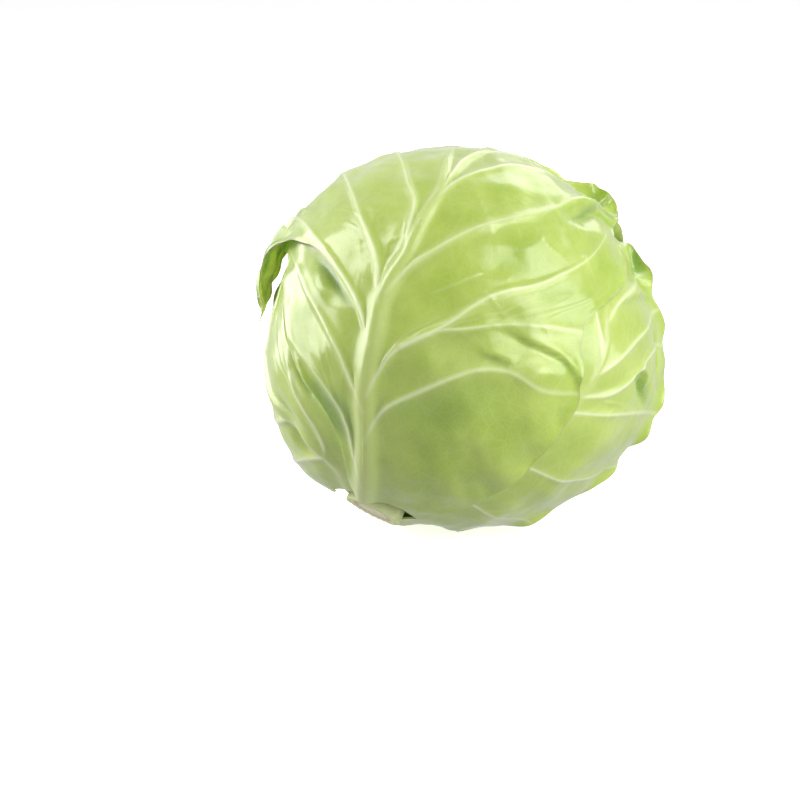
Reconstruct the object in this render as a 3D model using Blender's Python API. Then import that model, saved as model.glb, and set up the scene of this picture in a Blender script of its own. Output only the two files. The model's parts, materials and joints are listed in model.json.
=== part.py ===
"""Green cabbage head lying on a table: a dense heart, four wrapper leaves and a cut stem.

Every leaf is drawn flat first. Its midrib and side veins are lines in millimetres on a map of the
head, and the map is then laid on the head like the real leaf. Metres, +Z up, the table at z = 0.
"""
import math

import bpy
import numpy as np

MM = 0.001

# The head: half its width, its depth and its height, and how far its flat spot lies below its centre.
HEAD_RADII = (0.0925, 0.0885, 0.0885)
REST_DEPTH = 0.0862

# A map millimetre is this fraction of a radian as seen from the centre of the head.
MAP_RADIUS = 90.0

# The stem points down, forward and to the left. The front leaf's midrib starts the longitudes.
STEM_AXIS = (-0.450, -0.405, -0.796)
FRONT_MERIDIAN = (-0.278, -0.783, 0.556)

# Places where the whole head swells or dips: direction, height in mm, and width in degrees.
HEAD_SWELLS = (
    ((-0.82, -0.10, -0.57), 5.5, 24.0),
    ((-0.93, -0.08, -0.36), -2.5, 11.0),
    ((-0.98, -0.05, 0.14), -5.0, 17.0),
    ((-0.55, 0.20, 0.81), 3.5, 20.0),
    ((0.61, 0.19, 0.77), -4.0, 16.0),
    ((0.92, -0.08, 0.38), -5.5, 15.0),
    ((0.95, -0.10, -0.30), 2.5, 18.0),
    ((0.99, -0.10, -0.05), -1.5, 40.0),
)

BLADE = 0.9            # thickness of a leaf blade, mm
LEAF_PITCH = 2.6       # room that one leaf takes over the next one, mm
COVER_EDGE = (2.0, 24.0)   # over this distance outside a leaf the ones below rise to meet it, mm

RIB_TAPER = 0.55       # power by which a midrib thins from its base to its tip
TEAR_START = 38.0      # the torn edge begins this far from the midrib, mm
TEAR_LIFT = 3.4        # how far the upper side of the tear stands off the lower side, mm
TEAR_SPREAD = 42.0     # how far from the tear that lift reaches, mm
TEAR_CLIMB = 32.0      # length along the tear over which it grows, mm
FLAP_ROWS = (0.0, 1.2, 2.0)       # rows of the torn corner, and the share of each that lies on the head
FLAP_ROOTED = (0.62, 0.85, 1.0)
RIB_COLUMNS = (0.0, 0.5, 1.1)     # first columns of a row, in midrib widths
EDGE_COLUMNS = (14.0, 7.0, 0.0)   # last columns of a row, mm from the margin
FLANK = 0.14           # the flanks of a side vein, as a share of the way to the next row
NEAREST_ROWS = 0.016   # least step between two rows, as a share of the midrib

LEAF_COLUMNS = {"front_leaf": 16, "left_leaf": 12, "right_leaf": 12, "back_leaf": 10}
TEAR_COLUMN = 6        # the column of the front leaf's grid that lies where the tear starts

HEART_SLACK = 1.4      # room between the heart and the innermost leaf, mm
HEART_GRID = (24, 40)  # rings and spokes of the heart's surface
LAP_STEP = 1.6         # step where one margin laps the next on the heart's crown, mm
CROWN_DIP = 1.0        # how far the crown sinks between its laps, mm
STEM_RADIUS = 14.0     # cut stem: its radius, and where it starts and ends from the head's centre, mm
STEM_GAP = 0.5         # room round the stem in its socket, mm
STEM_INNER = 76.0
STEM_OUTER = 91.5
STEM_SIDES = 24


def unit(vector):
    """Scale vectors to length one along their last axis."""
    vector = np.asarray(vector, float)
    return vector / np.linalg.norm(vector, axis=-1, keepdims=True)


STEM_AXIS = unit(STEM_AXIS)
FRONT_MERIDIAN = unit(FRONT_MERIDIAN)
SIDE_MERIDIAN = np.cross(-STEM_AXIS, FRONT_MERIDIAN)


def stem_frame(longitude, colatitude):
    """Map frame centred at a longitude and an angle from the stem: centre, right and up."""
    turn = math.radians(longitude)
    tilt = math.radians(colatitude)
    meridian = math.cos(turn) * FRONT_MERIDIAN + math.sin(turn) * SIDE_MERIDIAN
    centre = math.cos(tilt) * STEM_AXIS + math.sin(tilt) * meridian
    upward = math.cos(tilt) * meridian - math.sin(tilt) * STEM_AXIS
    return centre, np.cross(upward, centre), upward


def facing_frame(elevation):
    """Map frame centred on the front of the head, an elevation above the horizon."""
    tilt = math.radians(elevation)
    centre = np.array((0.0, -math.cos(tilt), math.sin(tilt)))
    upward = np.array((0.0, math.sin(tilt), math.cos(tilt)))
    return centre, np.cross(upward, centre), upward


def map_to_direction(frame, spots):
    """Distance and bearing from the map's centre become an angle and a bearing on the sphere."""
    centre, right, upward = frame
    reach = np.linalg.norm(spots, axis=-1, keepdims=True)
    bearing = spots / np.maximum(reach, 1e-9)
    angle = reach / MAP_RADIUS
    sideways = bearing[..., :1] * right + bearing[..., 1:] * upward
    return np.cos(angle) * centre + np.sin(angle) * sideways


def direction_to_map(frame, direction):
    """The inverse of map_to_direction."""
    centre, right, upward = frame
    across = np.stack((direction @ right, direction @ upward), axis=-1)
    sine = np.linalg.norm(across, axis=-1, keepdims=True)
    angle = np.arctan2(sine[..., 0], direction @ centre)[..., None]
    return across / np.maximum(sine, 1e-9) * angle * MAP_RADIUS


def smoothstep(value, low, high):
    """Zero below low, one above high, and a smooth S between."""
    ramp = np.clip((value - low) / (high - low), 0.0, 1.0)
    return ramp * ramp * (3.0 - 2.0 * ramp)


def head_radius(direction):
    """Ellipsoid radius along a direction, plus a bell-shaped bump for each swell, in metres."""
    radius = 1.0 / np.sqrt(((direction / np.array(HEAD_RADII)) ** 2).sum(axis=-1))
    for towards, height, width in HEAD_SWELLS:
        away = np.degrees(np.arccos(np.clip(direction @ unit(towards), -1.0, 1.0)))
        radius = radius + height * MM * np.exp(-(away / width) ** 2)
    return radius


def smooth_line(points, count):
    """Catmull-Rom curve through hand-placed points, resampled to even steps along its length."""
    points = np.asarray(points, float)
    chord = np.linalg.norm(np.diff(points, axis=0), axis=1)
    knots = np.concatenate(((0.0,), np.cumsum(np.sqrt(chord))))
    slopes = np.gradient(points, knots, axis=0)
    fine = np.linspace(0.0, knots[-1], 20 * len(points))
    cell = np.clip(np.searchsorted(knots, fine, side="right") - 1, 0, len(points) - 2)
    span = (knots[cell + 1] - knots[cell])[:, None]
    part = (fine - knots[cell])[:, None] / span
    curve = (
        (2 * part**3 - 3 * part**2 + 1) * points[cell]
        + (part**3 - 2 * part**2 + part) * span * slopes[cell]
        + (3 * part**2 - 2 * part**3) * points[cell + 1]
        + (part**3 - part**2) * span * slopes[cell + 1]
    )
    along = np.concatenate(((0.0,), np.cumsum(np.linalg.norm(np.diff(curve, axis=0), axis=1))))
    even = np.linspace(0.0, along[-1], count)
    return np.stack([np.interp(even, along, curve[:, axis]) for axis in range(2)], axis=1)


def even_slopes(table):
    """Slopes across a table's rows that never overshoot: harmonic means, or zero at a turning point."""
    change = np.diff(table, axis=0)
    before, after = change[:-1], change[1:]
    product = before * after
    both = np.where(np.abs(before + after) > 1e-9, before + after, 1.0)
    middle = np.where(product > 0.0, 2.0 * product / both, 0.0)
    return np.concatenate((change[:1], middle, change[-1:]))


def line_distance(spots, line):
    """Distance from map spots to a polyline, and how far along the line the nearest point is."""
    start = line[:-1]
    step = np.diff(line, axis=0)
    squared = np.maximum((step**2).sum(axis=1), 1e-12)
    best = np.full(spots.shape[:-1], np.inf)
    place = np.zeros(spots.shape[:-1])
    for index in range(len(start)):
        offset = spots - start[index]
        part = np.clip((offset @ step[index]) / squared[index], 0.0, 1.0)
        gap = np.linalg.norm(offset - part[..., None] * step[index], axis=-1)
        closer = gap < best
        best = np.where(closer, gap, best)
        place = np.where(closer, (index + part) / len(start), place)
    return best, place


def inside(spots, outline):
    """True where a map spot is inside a closed outline, by counting crossings."""
    found = np.zeros(spots.shape[:-1], bool)
    x, y = spots[..., 0], spots[..., 1]
    following = np.roll(outline, -1, axis=0)
    for (x0, y0), (x1, y1) in zip(outline, following):
        spans = (y0 > y) != (y1 > y)
        rise = y1 - y0 if y1 != y0 else 1e-9
        found ^= spans & (x < x0 + (y - y0) / rise * (x1 - x0))
    return found


class Leaf:
    """One leaf: its map frame, its midrib, and the rows that run from midrib to margin.

    Each row is (points, is_vein). Rows go from the base of the leaf to its tip on each side, and
    the last row is the tip line, which both sides share.
    """

    ROW_POINTS = 61

    def __init__(self, name, frame, midrib, sides, tip, ribs, curls=(), waves=(), branches=(), creases=()):
        self.name = name
        self.frame = frame
        self.midrib = smooth_line(midrib, 121)
        self.ribs = ribs
        self.curls = curls
        self.waves = waves
        self.branches = [smooth_line(points, self.ROW_POINTS) for points in branches]
        self.creases = creases
        self.above = ()
        self.sides = {}
        for side, rows in sides.items():
            table = list(rows)
            if side != "left low":
                table.append((tip, False))
            starts = [self.nearest_on_midrib(points[0]) for points, _ in table]
            if side != "left high":
                starts[0] = 0.0
            if side != "left low":
                starts[-1] = 1.0
            lines = np.array([smooth_line(points, self.ROW_POINTS) for points, _ in table])
            veins = [index for index, row in enumerate(table) if row[1]]
            self.sides[side] = (np.array(starts), lines, veins)
        self.outline = self.margin_outline()

    def nearest_on_midrib(self, point):
        return float(line_distance(np.array([point], float), self.midrib)[1][0])

    def midrib_at(self, place):
        index = place * (len(self.midrib) - 1)
        steps = np.arange(len(self.midrib))
        return np.stack([np.interp(index, steps, self.midrib[:, axis]) for axis in range(2)], axis=-1)

    def rows_at(self, side, places):
        """Rows starting at places along the midrib: the drawn rows blended by a cubic across them."""
        starts, lines, _ = self.sides[side]
        number = np.interp(places, starts, np.arange(len(starts)))
        cell = np.clip(number.astype(int), 0, len(starts) - 2)
        part = (number - cell)[:, None, None]
        slopes = even_slopes(lines)
        rows = (
            (2 * part**3 - 3 * part**2 + 1) * lines[cell]
            + (part**3 - 2 * part**2 + part) * slopes[cell]
            + (3 * part**2 - 2 * part**3) * lines[cell + 1]
            + (part**3 - part**2) * slopes[cell + 1]
        )
        fade = (1.0 - np.linspace(0.0, 1.0, self.ROW_POINTS))[None, :, None] ** 3
        return rows + (self.midrib_at(places) - rows[:, 0])[:, None, :] * fade, number

    def margin_outline(self):
        """The closed outline of the leaf on the map, for the leaves that it covers."""
        places = np.linspace(0.0, 1.0, 40)
        right = self.rows_at("right", places)[0]
        if "left" in self.sides:
            left = self.rows_at("left", places)[0]
        else:
            tear = self.sides["left low"][0][-1]
            low = self.rows_at("left low", places[places < tear])[0]
            high, number = self.rows_at("left high", places[places > tear])
            share = np.interp(number, FLAP_ROWS, FLAP_ROOTED)
            rooted = (share * (self.ROW_POINTS - 1)).astype(int)
            high[:, -1] = high[np.arange(len(high)), rooted]
            left = np.concatenate((low, high))
        return np.concatenate((right[0], right[1:, -1], left[::-1, -1], left[0][::-1]))


def row_length(rows):
    steps = np.linalg.norm(np.diff(rows, axis=1), axis=2)
    return np.concatenate((np.zeros((len(rows), 1)), np.cumsum(steps, axis=1)), axis=1)


def along_rows(rows, columns, rib_width, tear_column):
    """Spots on each row: set steps across the midrib and at the margin, and even ones between.

    On a torn side the tear column lies where the tear starts.
    """
    length = row_length(rows)
    total = length[:, -1:]
    near = np.minimum(rib_width[:, None] * np.array(RIB_COLUMNS), 0.3 * total)
    edge = total - np.minimum(np.array(EDGE_COLUMNS), 0.35 * total)
    first, last = near.shape[1] - 1, columns - edge.shape[1]
    middle = near[:, -1:] + (edge[:, :1] - near[:, -1:]) * np.linspace(0.0, 1.0, last - first + 1)
    if tear_column:
        hold = np.minimum(TEAR_START, 0.5 * total)
        inner = np.linspace(0.0, 1.0, tear_column - first + 1)
        outer = np.linspace(0.0, 1.0, last - tear_column + 1)
        before = near[:, -1:] + (hold - near[:, -1:]) * inner
        after = hold + (edge[:, :1] - hold) * outer
        middle = np.concatenate((before, after[:, 1:]), axis=1)
    distance = np.concatenate((near, middle[:, 1:-1], edge), axis=1)
    spots = np.empty(distance.shape + (2,))
    for index in range(len(rows)):
        for axis in range(2):
            spots[index, :, axis] = np.interp(distance[index], length[index], rows[index, :, axis])
    return spots, distance, total[:, 0]


def rib_relief(leaf, spots):
    """Height of the midrib and side veins, mm: a rounded ridge that thins towards its far end."""
    gap, place = line_distance(spots, leaf.midrib)
    width, height = leaf.ribs["midrib"]
    taper = np.maximum(1.0 - place, 0.02) ** RIB_TAPER
    relief = height * taper * np.exp(-((gap / (0.62 * width * taper)) ** 2))
    width, height = leaf.ribs["vein"]
    veins = [lines[index] for _, lines, indices in leaf.sides.values() for index in indices]
    for vein in veins + leaf.branches:
        gap, place = line_distance(spots, vein)
        fade = (1.0 - place) ** 0.7
        relief = np.maximum(relief, height * fade * np.exp(-((gap / width) ** 2)))
    return relief


def crease_relief(leaf, spots):
    """Steps along drawn lines, mm: the blade stands proud on the left of a line and sinks right of it."""
    relief = np.zeros(spots.shape[:-1])
    for points, height, spread in leaf.creases:
        line = smooth_line(points, 40)
        gap, place = line_distance(spots, line)
        cell = np.clip((place * (len(line) - 1)).astype(int), 0, len(line) - 2)
        step = (line[1:] - line[:-1])[cell]
        offset = spots - line[cell]
        left = step[..., 0] * offset[..., 1] - step[..., 1] * offset[..., 0] > 0.0
        signed = np.where(left, gap, -gap)
        ends = np.sin(np.pi * np.clip(place, 0.0, 1.0)) ** 0.7
        decay = np.exp(-((gap / spread) ** 2))
        relief = relief + height * ends * decay * (np.tanh(signed / 2.0) + 0.5)
    return relief


def cover_depth(leaves, direction):
    """How far the leaves on top press a surface down, mm: one leaf pitch for each leaf over it."""
    depth = np.zeros(direction.shape[:-1])
    for leaf in leaves:
        spots = direction_to_map(leaf.frame, direction)
        closed = np.concatenate((leaf.outline, leaf.outline[:1]))
        gap, _ = line_distance(spots, closed)
        gap = np.where(inside(spots, leaf.outline), 0.0, gap)
        depth = depth + LEAF_PITCH * (1.0 - smoothstep(gap, *COVER_EDGE))
    return depth


def on_head(direction, lift, depth):
    """Points at the head's radius, less depth, plus lift, held above the table's flat spot."""
    radius = head_radius(direction) + (lift - depth) * MM
    floor = (REST_DEPTH - depth * MM) / np.maximum(-direction[..., 2], 1e-6)
    return direction * np.minimum(radius, floor)[..., None]


def peel(points, normals, bend):
    """Swing each row out of the head by the bend angle, keeping the distance between its points."""
    tangent = np.gradient(points, axis=1)
    tangent = tangent - (tangent * normals).sum(axis=-1, keepdims=True) * normals
    tangent = unit(tangent)
    turned = (np.cos(bend) - 1.0)[..., None] * tangent + np.sin(bend)[..., None] * normals
    step = np.linalg.norm(np.diff(points, axis=1), axis=2)[..., None]
    moved = np.cumsum(0.5 * (turned[:, 1:] + turned[:, :-1]) * step, axis=1)
    points = points.copy()
    points[:, 1:] += moved
    return points, np.cos(bend)[..., None] * normals - np.sin(bend)[..., None] * tangent


def bend_angle(leaf, side, number, distance, total):
    """How far the margin bends out: bells across the rows, and waves that come and go along them."""
    bend = np.zeros(distance.shape)
    inward = total[:, None] - distance
    for where, middle, spread, reach, degrees in leaf.curls:
        if where == side:
            bell = np.exp(-(((number - middle) / spread) ** 2))[:, None]
            bend = bend + math.radians(degrees) * bell * np.clip(1.0 - inward / reach, 0.0, 1.0)
    for where, first, last, period, reach, degrees in leaf.waves:
        if where == side:
            wave = 0.5 - 0.5 * np.cos(2.0 * np.pi * (number - first) / period)
            wave = (wave * (number > first) * (number < last))[:, None]
            bend = bend + math.radians(degrees) * wave * np.clip(1.0 - inward / reach, 0.0, 1.0)
    return bend


def leaf_places(leaf):
    """Places along the midrib: one on each vein and on both its flanks, and one between veins."""
    on_vein, between = [0.0, 1.0], []
    for starts, _, veins in leaf.sides.values():
        for index in range(len(starts)):
            if 0 < index < len(starts) - 1 or 0.0 < starts[index] < 1.0:
                on_vein.append(starts[index])
            for part in (-FLANK, FLANK) if index in veins else ():
                between.append(np.interp(index + part, np.arange(len(starts)), starts))
            if index + 1 < len(starts):
                between.append(0.5 * (starts[index] + starts[index + 1]))
    places = []
    for place in on_vein + between:
        if all(abs(place - other) > NEAREST_ROWS for other in places):
            places.append(place)
    return np.array(sorted(places))


def tear_lift(leaf, spots):
    """Lift of the blade above a tear, mm: it grows along the tear's edge and fades away from it."""
    edge = leaf.sides["left high"][1][0]
    length = np.linalg.norm(np.diff(edge, axis=0), axis=1).sum()
    gap, place = line_distance(spots, edge)
    grown = smoothstep(place * length, TEAR_START - 6.0, TEAR_START + TEAR_CLIMB)
    return TEAR_LIFT * grown * np.exp(-((gap / TEAR_SPREAD) ** 2))


def leaf_side(leaf, side, places, columns, tear_column=0):
    """One half leaf: its outer points, the way out of the blade, and the blade's thickness."""
    rows, number = leaf.rows_at(side, places)
    width = leaf.ribs["midrib"][0] * np.maximum(1.0 - places, 0.1) ** RIB_TAPER
    spots, distance, total = along_rows(rows, columns, width, tear_column)
    direction = map_to_direction(leaf.frame, spots)
    depth = cover_depth(leaf.above, direction)
    covered = np.clip(depth / LEAF_PITCH, 0.0, 1.0)
    ribs = rib_relief(leaf, spots) * (1.0 - 0.85 * covered)
    lift = crease_relief(leaf, spots)
    if side == "left high":
        lift = lift + tear_lift(leaf, spots)
    points = on_head(direction, ribs + lift, depth)
    bend = bend_angle(leaf, side, number, distance, total)
    bend = bend * (1.0 - smoothstep(covered[:, -1:], 0.1, 0.6))
    points, outward = peel(points, direction, bend)
    return points, outward, BLADE + ribs


def thicken(points, outward, triangles, thickness):
    """Close an outward-facing sheet: a copy pushed in by the thickness, joined round the edge."""
    inner = points - outward * thickness[:, None] * MM
    count = len(points)
    edges = np.concatenate([triangles[:, (a, b)] for a, b in ((0, 1), (1, 2), (2, 0))])
    forward = {(int(a), int(b)) for a, b in edges}
    rim = sorted((a, b) for a, b in forward if (b, a) not in forward)
    sides = [(b, a, a + count) for a, b in rim] + [(b, a + count, b + count) for a, b in rim]
    faces = np.concatenate((triangles, triangles[:, ::-1] + count, np.array(sides)))
    return np.concatenate((points, inner)), faces


def grid_triangles(index, points):
    """Split each cell of a grid of point numbers in two, along its shorter diagonal."""
    a, b = index[:-1, :-1].ravel(), index[:-1, 1:].ravel()
    c, d = index[1:, 1:].ravel(), index[1:, :-1].ravel()
    excess = np.linalg.norm(points[a] - points[c], axis=1) - np.linalg.norm(points[b] - points[d], axis=1)
    across = (excess > 0.01 * MM)[:, None]
    first = np.where(across, np.stack((a, b, d), axis=1), np.stack((a, b, c), axis=1))
    second = np.where(across, np.stack((b, c, d), axis=1), np.stack((a, c, d), axis=1))
    cells = np.concatenate((first, second))
    keep = (cells[:, 0] != cells[:, 1]) & (cells[:, 1] != cells[:, 2]) & (cells[:, 2] != cells[:, 0])
    return cells[keep]


def leaf_sheet(leaf, columns, tear_column=0):
    """A leaf as one sheet: points, ways out of the blade, triangles and thicknesses.

    The halves share the midrib and the tip line. A torn left half is two grids, which share their
    common row from the midrib to the tear's inner end.
    """
    places = leaf_places(leaf)
    grids = {"right": (0, leaf_side(leaf, "right", places, columns))}
    if "left" in leaf.sides:
        grids["left"] = (0, leaf_side(leaf, "left", places, columns))
    else:
        split = int(np.argmin(np.abs(places - leaf.sides["left low"][0][-1])))
        low, high = places[: split + 1], places[split:]
        grids["left low"] = (0, leaf_side(leaf, "left low", low, columns, tear_column))
        grids["left high"] = (split, leaf_side(leaf, "left high", high, columns, tear_column))
    shared = np.arange(len(places) * columns).reshape(len(places), columns)
    count = shared.size
    values = [[array.reshape(count, -1)] for array in grids["right"][1]]
    left_indices = []
    below = None
    for side, (first, arrays) in grids.items():
        if side == "right":
            continue
        index = shared[first : first + len(arrays[0])].copy()
        fresh = np.ones(index.shape, bool)
        fresh[:, 0] = False
        if side != "left low":
            fresh[-1, :] = False
        if side == "left high":
            index[0, : tear_column + 1] = below[-1, : tear_column + 1]
            fresh[0, : tear_column + 1] = False
        index[fresh] = count + np.arange(fresh.sum())
        count += int(fresh.sum())
        for kept, array in zip(values, arrays):
            kept.append(array[fresh].reshape(int(fresh.sum()), -1))
        left_indices.append(index)
        below = index
    points, outward, thickness = [np.concatenate(kept) for kept in values]
    triangles = [grid_triangles(shared, points)]
    triangles += [grid_triangles(index, points)[:, ::-1] for index in left_indices]
    return points, outward, np.concatenate(triangles), thickness[:, 0]


def make_object(name, points, faces, colour, roughness):
    """A mesh object with its own plain material, in world coordinates."""
    mesh = bpy.data.meshes.new(name)
    mesh.from_pydata([tuple(point) for point in points], [], [tuple(int(i) for i in face) for face in faces])
    mesh.update()
    thing = bpy.data.objects.new(name, mesh)
    bpy.context.scene.collection.objects.link(thing)
    material = bpy.data.materials.new(name)
    material.use_nodes = True
    shader = material.node_tree.nodes["Principled BSDF"]
    shader.inputs["Base Color"].default_value = (*colour, 1.0)
    shader.inputs["Roughness"].default_value = roughness
    mesh.materials.append(material)
    mesh.shade_smooth()
    return thing


def front_leaf():
    """The outermost leaf: its thick midrib faces front, and its upper left corner hangs free."""
    midrib = ((-56, -92), (-49, -65), (-46, -42), (-44, -20), (-40, -1), (-37, 15), (-32, 27),
              (-25, 40), (-18, 58), (-11, 74), (-8, 100), (-5, 120))
    right = (
        (((-56, -92), (-44, -95), (-28, -101), (-8, -98), (15, -84), (34, -66)), False),
        (((-47, -50), (-36, -33), (-19, -24), (-3, -17), (8, -14), (21, -15), (37, -24), (57, -27)), True),
        (((-43, -26), (-38, -16), (-31, -7), (-24, -2), (-11, 3), (1, 4), (20, 6), (39, 5), (57, 3)), True),
        (((-41, -12), (-27, 2), (-12, 8), (2, 10), (20, 13), (40, 16), (60, 21), (78, 27),
          (90, 34)), False),
        (((-39, 4), (-28, 9), (-14, 12), (-2, 14), (8, 18), (21, 22), (34, 24), (55, 34), (66, 42),
          (79, 56), (93, 64)), False),
        (((-34, 20), (-24, 32), (-12, 40), (1, 48), (14, 54), (28, 59), (44, 65), (64, 76), (84, 81),
          (104, 80)), True),
        (((-20, 52), (-10, 72), (1, 83), (17, 93), (34, 101), (53, 101), (70, 96), (88, 96),
          (108, 98)), True),
        (((-11, 72), (-5, 86), (1, 101), (14, 115), (34, 122), (60, 122), (88, 118)), True),
    )
    left_low = (
        (((-56, -92), (-62, -84), (-62, -70), (-63, -55), (-68, -40), (-77, -27), (-86, -14)), False),
        (((-52, -78), (-54, -64), (-55, -55), (-57, -43), (-60, -35), (-65, -26), (-72, -17),
          (-81, -8), (-88, 1), (-94, 10), (-99, 21)), True),
        (((-45, -34), (-50, -23), (-57, -7), (-63, 3), (-74, 19), (-89, 38), (-106, 54)), True),
        (((-42, -8), (-44, 3), (-50, 14), (-57, 24), (-65, 33), (-76, 43), (-87, 53), (-96, 60)), False),
    )
    left_high = (
        (((-42, -8), (-44, 3), (-50, 14), (-57, 24), (-63, 35), (-73, 45), (-86, 51), (-97, 55),
          (-108, 55), (-118, 48), (-125, 38), (-130, 24), (-132, 6)), False),
        (((-41, -3), (-44, 7), (-47, 15), (-53, 25), (-62, 37), (-73, 50), (-92, 67), (-106, 74),
          (-118, 71), (-128, 60), (-135, 44), (-138, 22)), True),
        (((-40, 4), (-44, 24), (-52, 42), (-66, 60), (-88, 80), (-108, 88), (-123, 84), (-135, 72),
          (-142, 54)), False),
        (((-39, 10), (-44, 34), (-54, 54), (-72, 78), (-94, 98), (-118, 106), (-132, 100),
          (-140, 92)), False),
        (((-37, 16), (-39, 35), (-43, 46), (-50, 60), (-59, 78), (-74, 102), (-92, 122), (-108, 134)), True),
        (((-26, 38), (-24, 56), (-23, 67), (-28, 80), (-34, 100), (-44, 124), (-56, 146)), True),
    )
    tip = ((-5, 120), (-3, 136), (0, 152))
    curls = (
        ("right", 6.1, 0.9, 14.0, 150.0),
        ("right", 3.6, 1.2, 9.0, 14.0),
        ("left high", 0.0, 1.1, 76.0, 66.0),
        ("left high", 0.0, 1.1, 56.0, -88.0),
        ("left high", 0.0, 1.1, 32.0, 12.0),
    )
    branches = (
        ((-27, -4), (-18, 0), (-5, 7), (5, 14), (12, 18), (21, 21), (34, 24), (55, 34), (66, 42),
         (76, 53), (82, 61)),
    )
    creases = (
        (((50, 66), (70, 74), (90, 74), (104, 70)), 2.2, 11.0),
    )
    return Leaf(
        "front_leaf", facing_frame(14.0), midrib,
        {"right": right, "left low": left_low, "left high": left_high}, tip,
        {"midrib": (10.5, 3.6), "vein": (2.8, 1.7)}, curls, (), branches, creases,
    )


def left_leaf():
    """The leaf under the front leaf's left margin: two ribs sweep up from its base to the left."""
    midrib = ((12, -120), (26, -107), (27, -95), (20, -82), (11, -71), (2, -61), (-5, -51), (-9, -40),
              (-10, -26), (-9, -5), (-5, 25), (0, 58))
    right = (
        (((12, -120), (22, -122), (36, -116), (50, -106)), False),
        (((24, -112), (37, -104), (47, -92), (54, -76), (60, -56)), False),
        (((27, -98), (34, -91), (36, -82), (34, -72), (31, -62), (30, -50), (31, -38), (34, -24),
          (40, -10), (50, -2)), True),
        (((-9, -49), (0, -32), (8, -14), (20, 8), (36, 26)), True),
        (((-11, -18), (-4, 2), (5, 24), (18, 46), (28, 60)), True),
    )
    left = (
        (((12, -120), (0, -114), (-18, -114), (-42, -104)), False),
        (((26, -98), (8, -95), (-14, -92), (-38, -86), (-62, -72)), True),
        (((12, -76), (-10, -72), (-32, -63), (-58, -46), (-82, -26)), True),
        (((-8, -52), (-24, -42), (-46, -24), (-68, -4), (-88, 18)), True),
        (((-12, -22), (-26, -6), (-44, 16), (-62, 38), (-76, 60)), True),
        (((-8, 14), (-16, 32), (-30, 54), (-42, 78)), True),
    )
    tip = ((0, 58), (2, 72), (4, 86))
    curls = (
        ("left", 4.4, 0.8, 12.0, 45.0),
    )
    waves = (
        ("left", 1.0, 5.5, 0.8, 13.0, 42.0),
    )
    return Leaf(
        "left_leaf", stem_frame(-62.0, 85.0), midrib, {"right": right, "left": left}, tip,
        {"midrib": (6.5, 2.4), "vein": (2.6, 1.4)}, curls, waves,
    )


def right_leaf():
    """The leaf under the front leaf's right margin: its own upper right margin curls outwards."""
    midrib = ((-2, -116), (-8, -90), (-12, -60), (-9, -35), (-4, -19), (3, -11), (8, -2), (8, 8),
              (4, 25), (0, 40), (-3, 60), (-4, 80))
    left = (
        (((-2, -116), (-12, -117), (-26, -112), (-40, -102)), False),
        (((-9, -84), (-24, -76), (-44, -62), (-60, -44)), True),
        (((-11, -48), (-24, -38), (-42, -22), (-58, 0)), True),
        (((-2, -17), (-12, -4), (-28, 16), (-42, 34)), True),
        (((6, 16), (-4, 30), (-16, 46), (-28, 60)), True),
    )
    right = (
        (((-2, -116), (10, -117), (28, -114), (50, -106)), False),
        (((-9, -84), (8, -82), (34, -78), (64, -68)), True),
        (((-11, -50), (6, -47), (32, -41), (58, -30), (80, -16)), True),
        (((-4, -19), (14, -10), (34, 0), (58, 10), (78, 16)), True),
        (((8, -4), (19, 3), (27, 12), (34, 23), (42, 34), (53, 43), (66, 48)), True),
        (((8, 8), (13, 16), (18, 25), (26, 36), (36, 48), (46, 58), (54, 64)), True),
        (((2, 32), (8, 46), (18, 58), (30, 70), (44, 82)), True),
        (((-2, 54), (4, 68), (14, 82), (28, 94)), True),
    )
    tip = ((-4, 80), (-4, 92), (-3, 104))
    curls = (
        ("right", 6.3, 0.7, 12.0, 125.0),
        ("right", 4.7, 0.6, 14.0, 36.0),
        ("right", 3.2, 0.5, 14.0, 36.0),
    )
    waves = (
        ("right", 0.6, 3.0, 0.8, 12.0, 34.0),
    )
    return Leaf(
        "right_leaf", stem_frame(62.0, 85.0), midrib, {"right": right, "left": left}, tip,
        {"midrib": (5.0, 2.2), "vein": (2.4, 1.4)}, curls, waves,
    )


def back_leaf():
    """The leaf that covers the back of the head and lies on the table near its base."""
    midrib = ((0, -116), (-3, -90), (-4, -60), (-2, -30), (1, 0), (4, 30), (5, 62), (2, 96))
    right = (
        (((0, -116), (14, -117), (36, -112), (62, -98)), False),
        (((-3, -88), (18, -84), (50, -74), (86, -56)), True),
        (((-4, -55), (22, -44), (58, -26), (102, -4)), True),
        (((0, -18), (26, -2), (60, 22), (102, 48)), True),
        (((4, 18), (24, 38), (52, 64), (84, 90)), True),
        (((5, 54), (16, 74), (36, 98), (54, 118)), True),
    )
    left = (
        (((0, -116), (-14, -117), (-36, -112), (-60, -100)), False),
        (((-3, -84), (-22, -80), (-54, -70), (-88, -56)), True),
        (((-4, -48), (-26, -38), (-62, -22), (-108, -4)), True),
        (((0, -10), (-22, 6), (-58, 28), (-108, 50)), True),
        (((4, 26), (-16, 46), (-48, 72), (-88, 94)), True),
        (((4, 62), (-8, 82), (-26, 104), (-42, 120)), True),
    )
    tip = ((2, 96), (2, 116), (4, 136))
    curls = (
        ("right", 3.9, 0.8, 20.0, 75.0),
    )
    waves = (
        ("right", 3.0, 5.6, 0.9, 13.0, 45.0),
        ("left", 3.6, 5.6, 0.9, 13.0, 45.0),
    )
    return Leaf(
        "back_leaf", stem_frame(172.0, 85.0), midrib, {"right": right, "left": left}, tip,
        {"midrib": (7.5, 2.8), "vein": (2.8, 1.5)}, curls, waves,
    )


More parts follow.
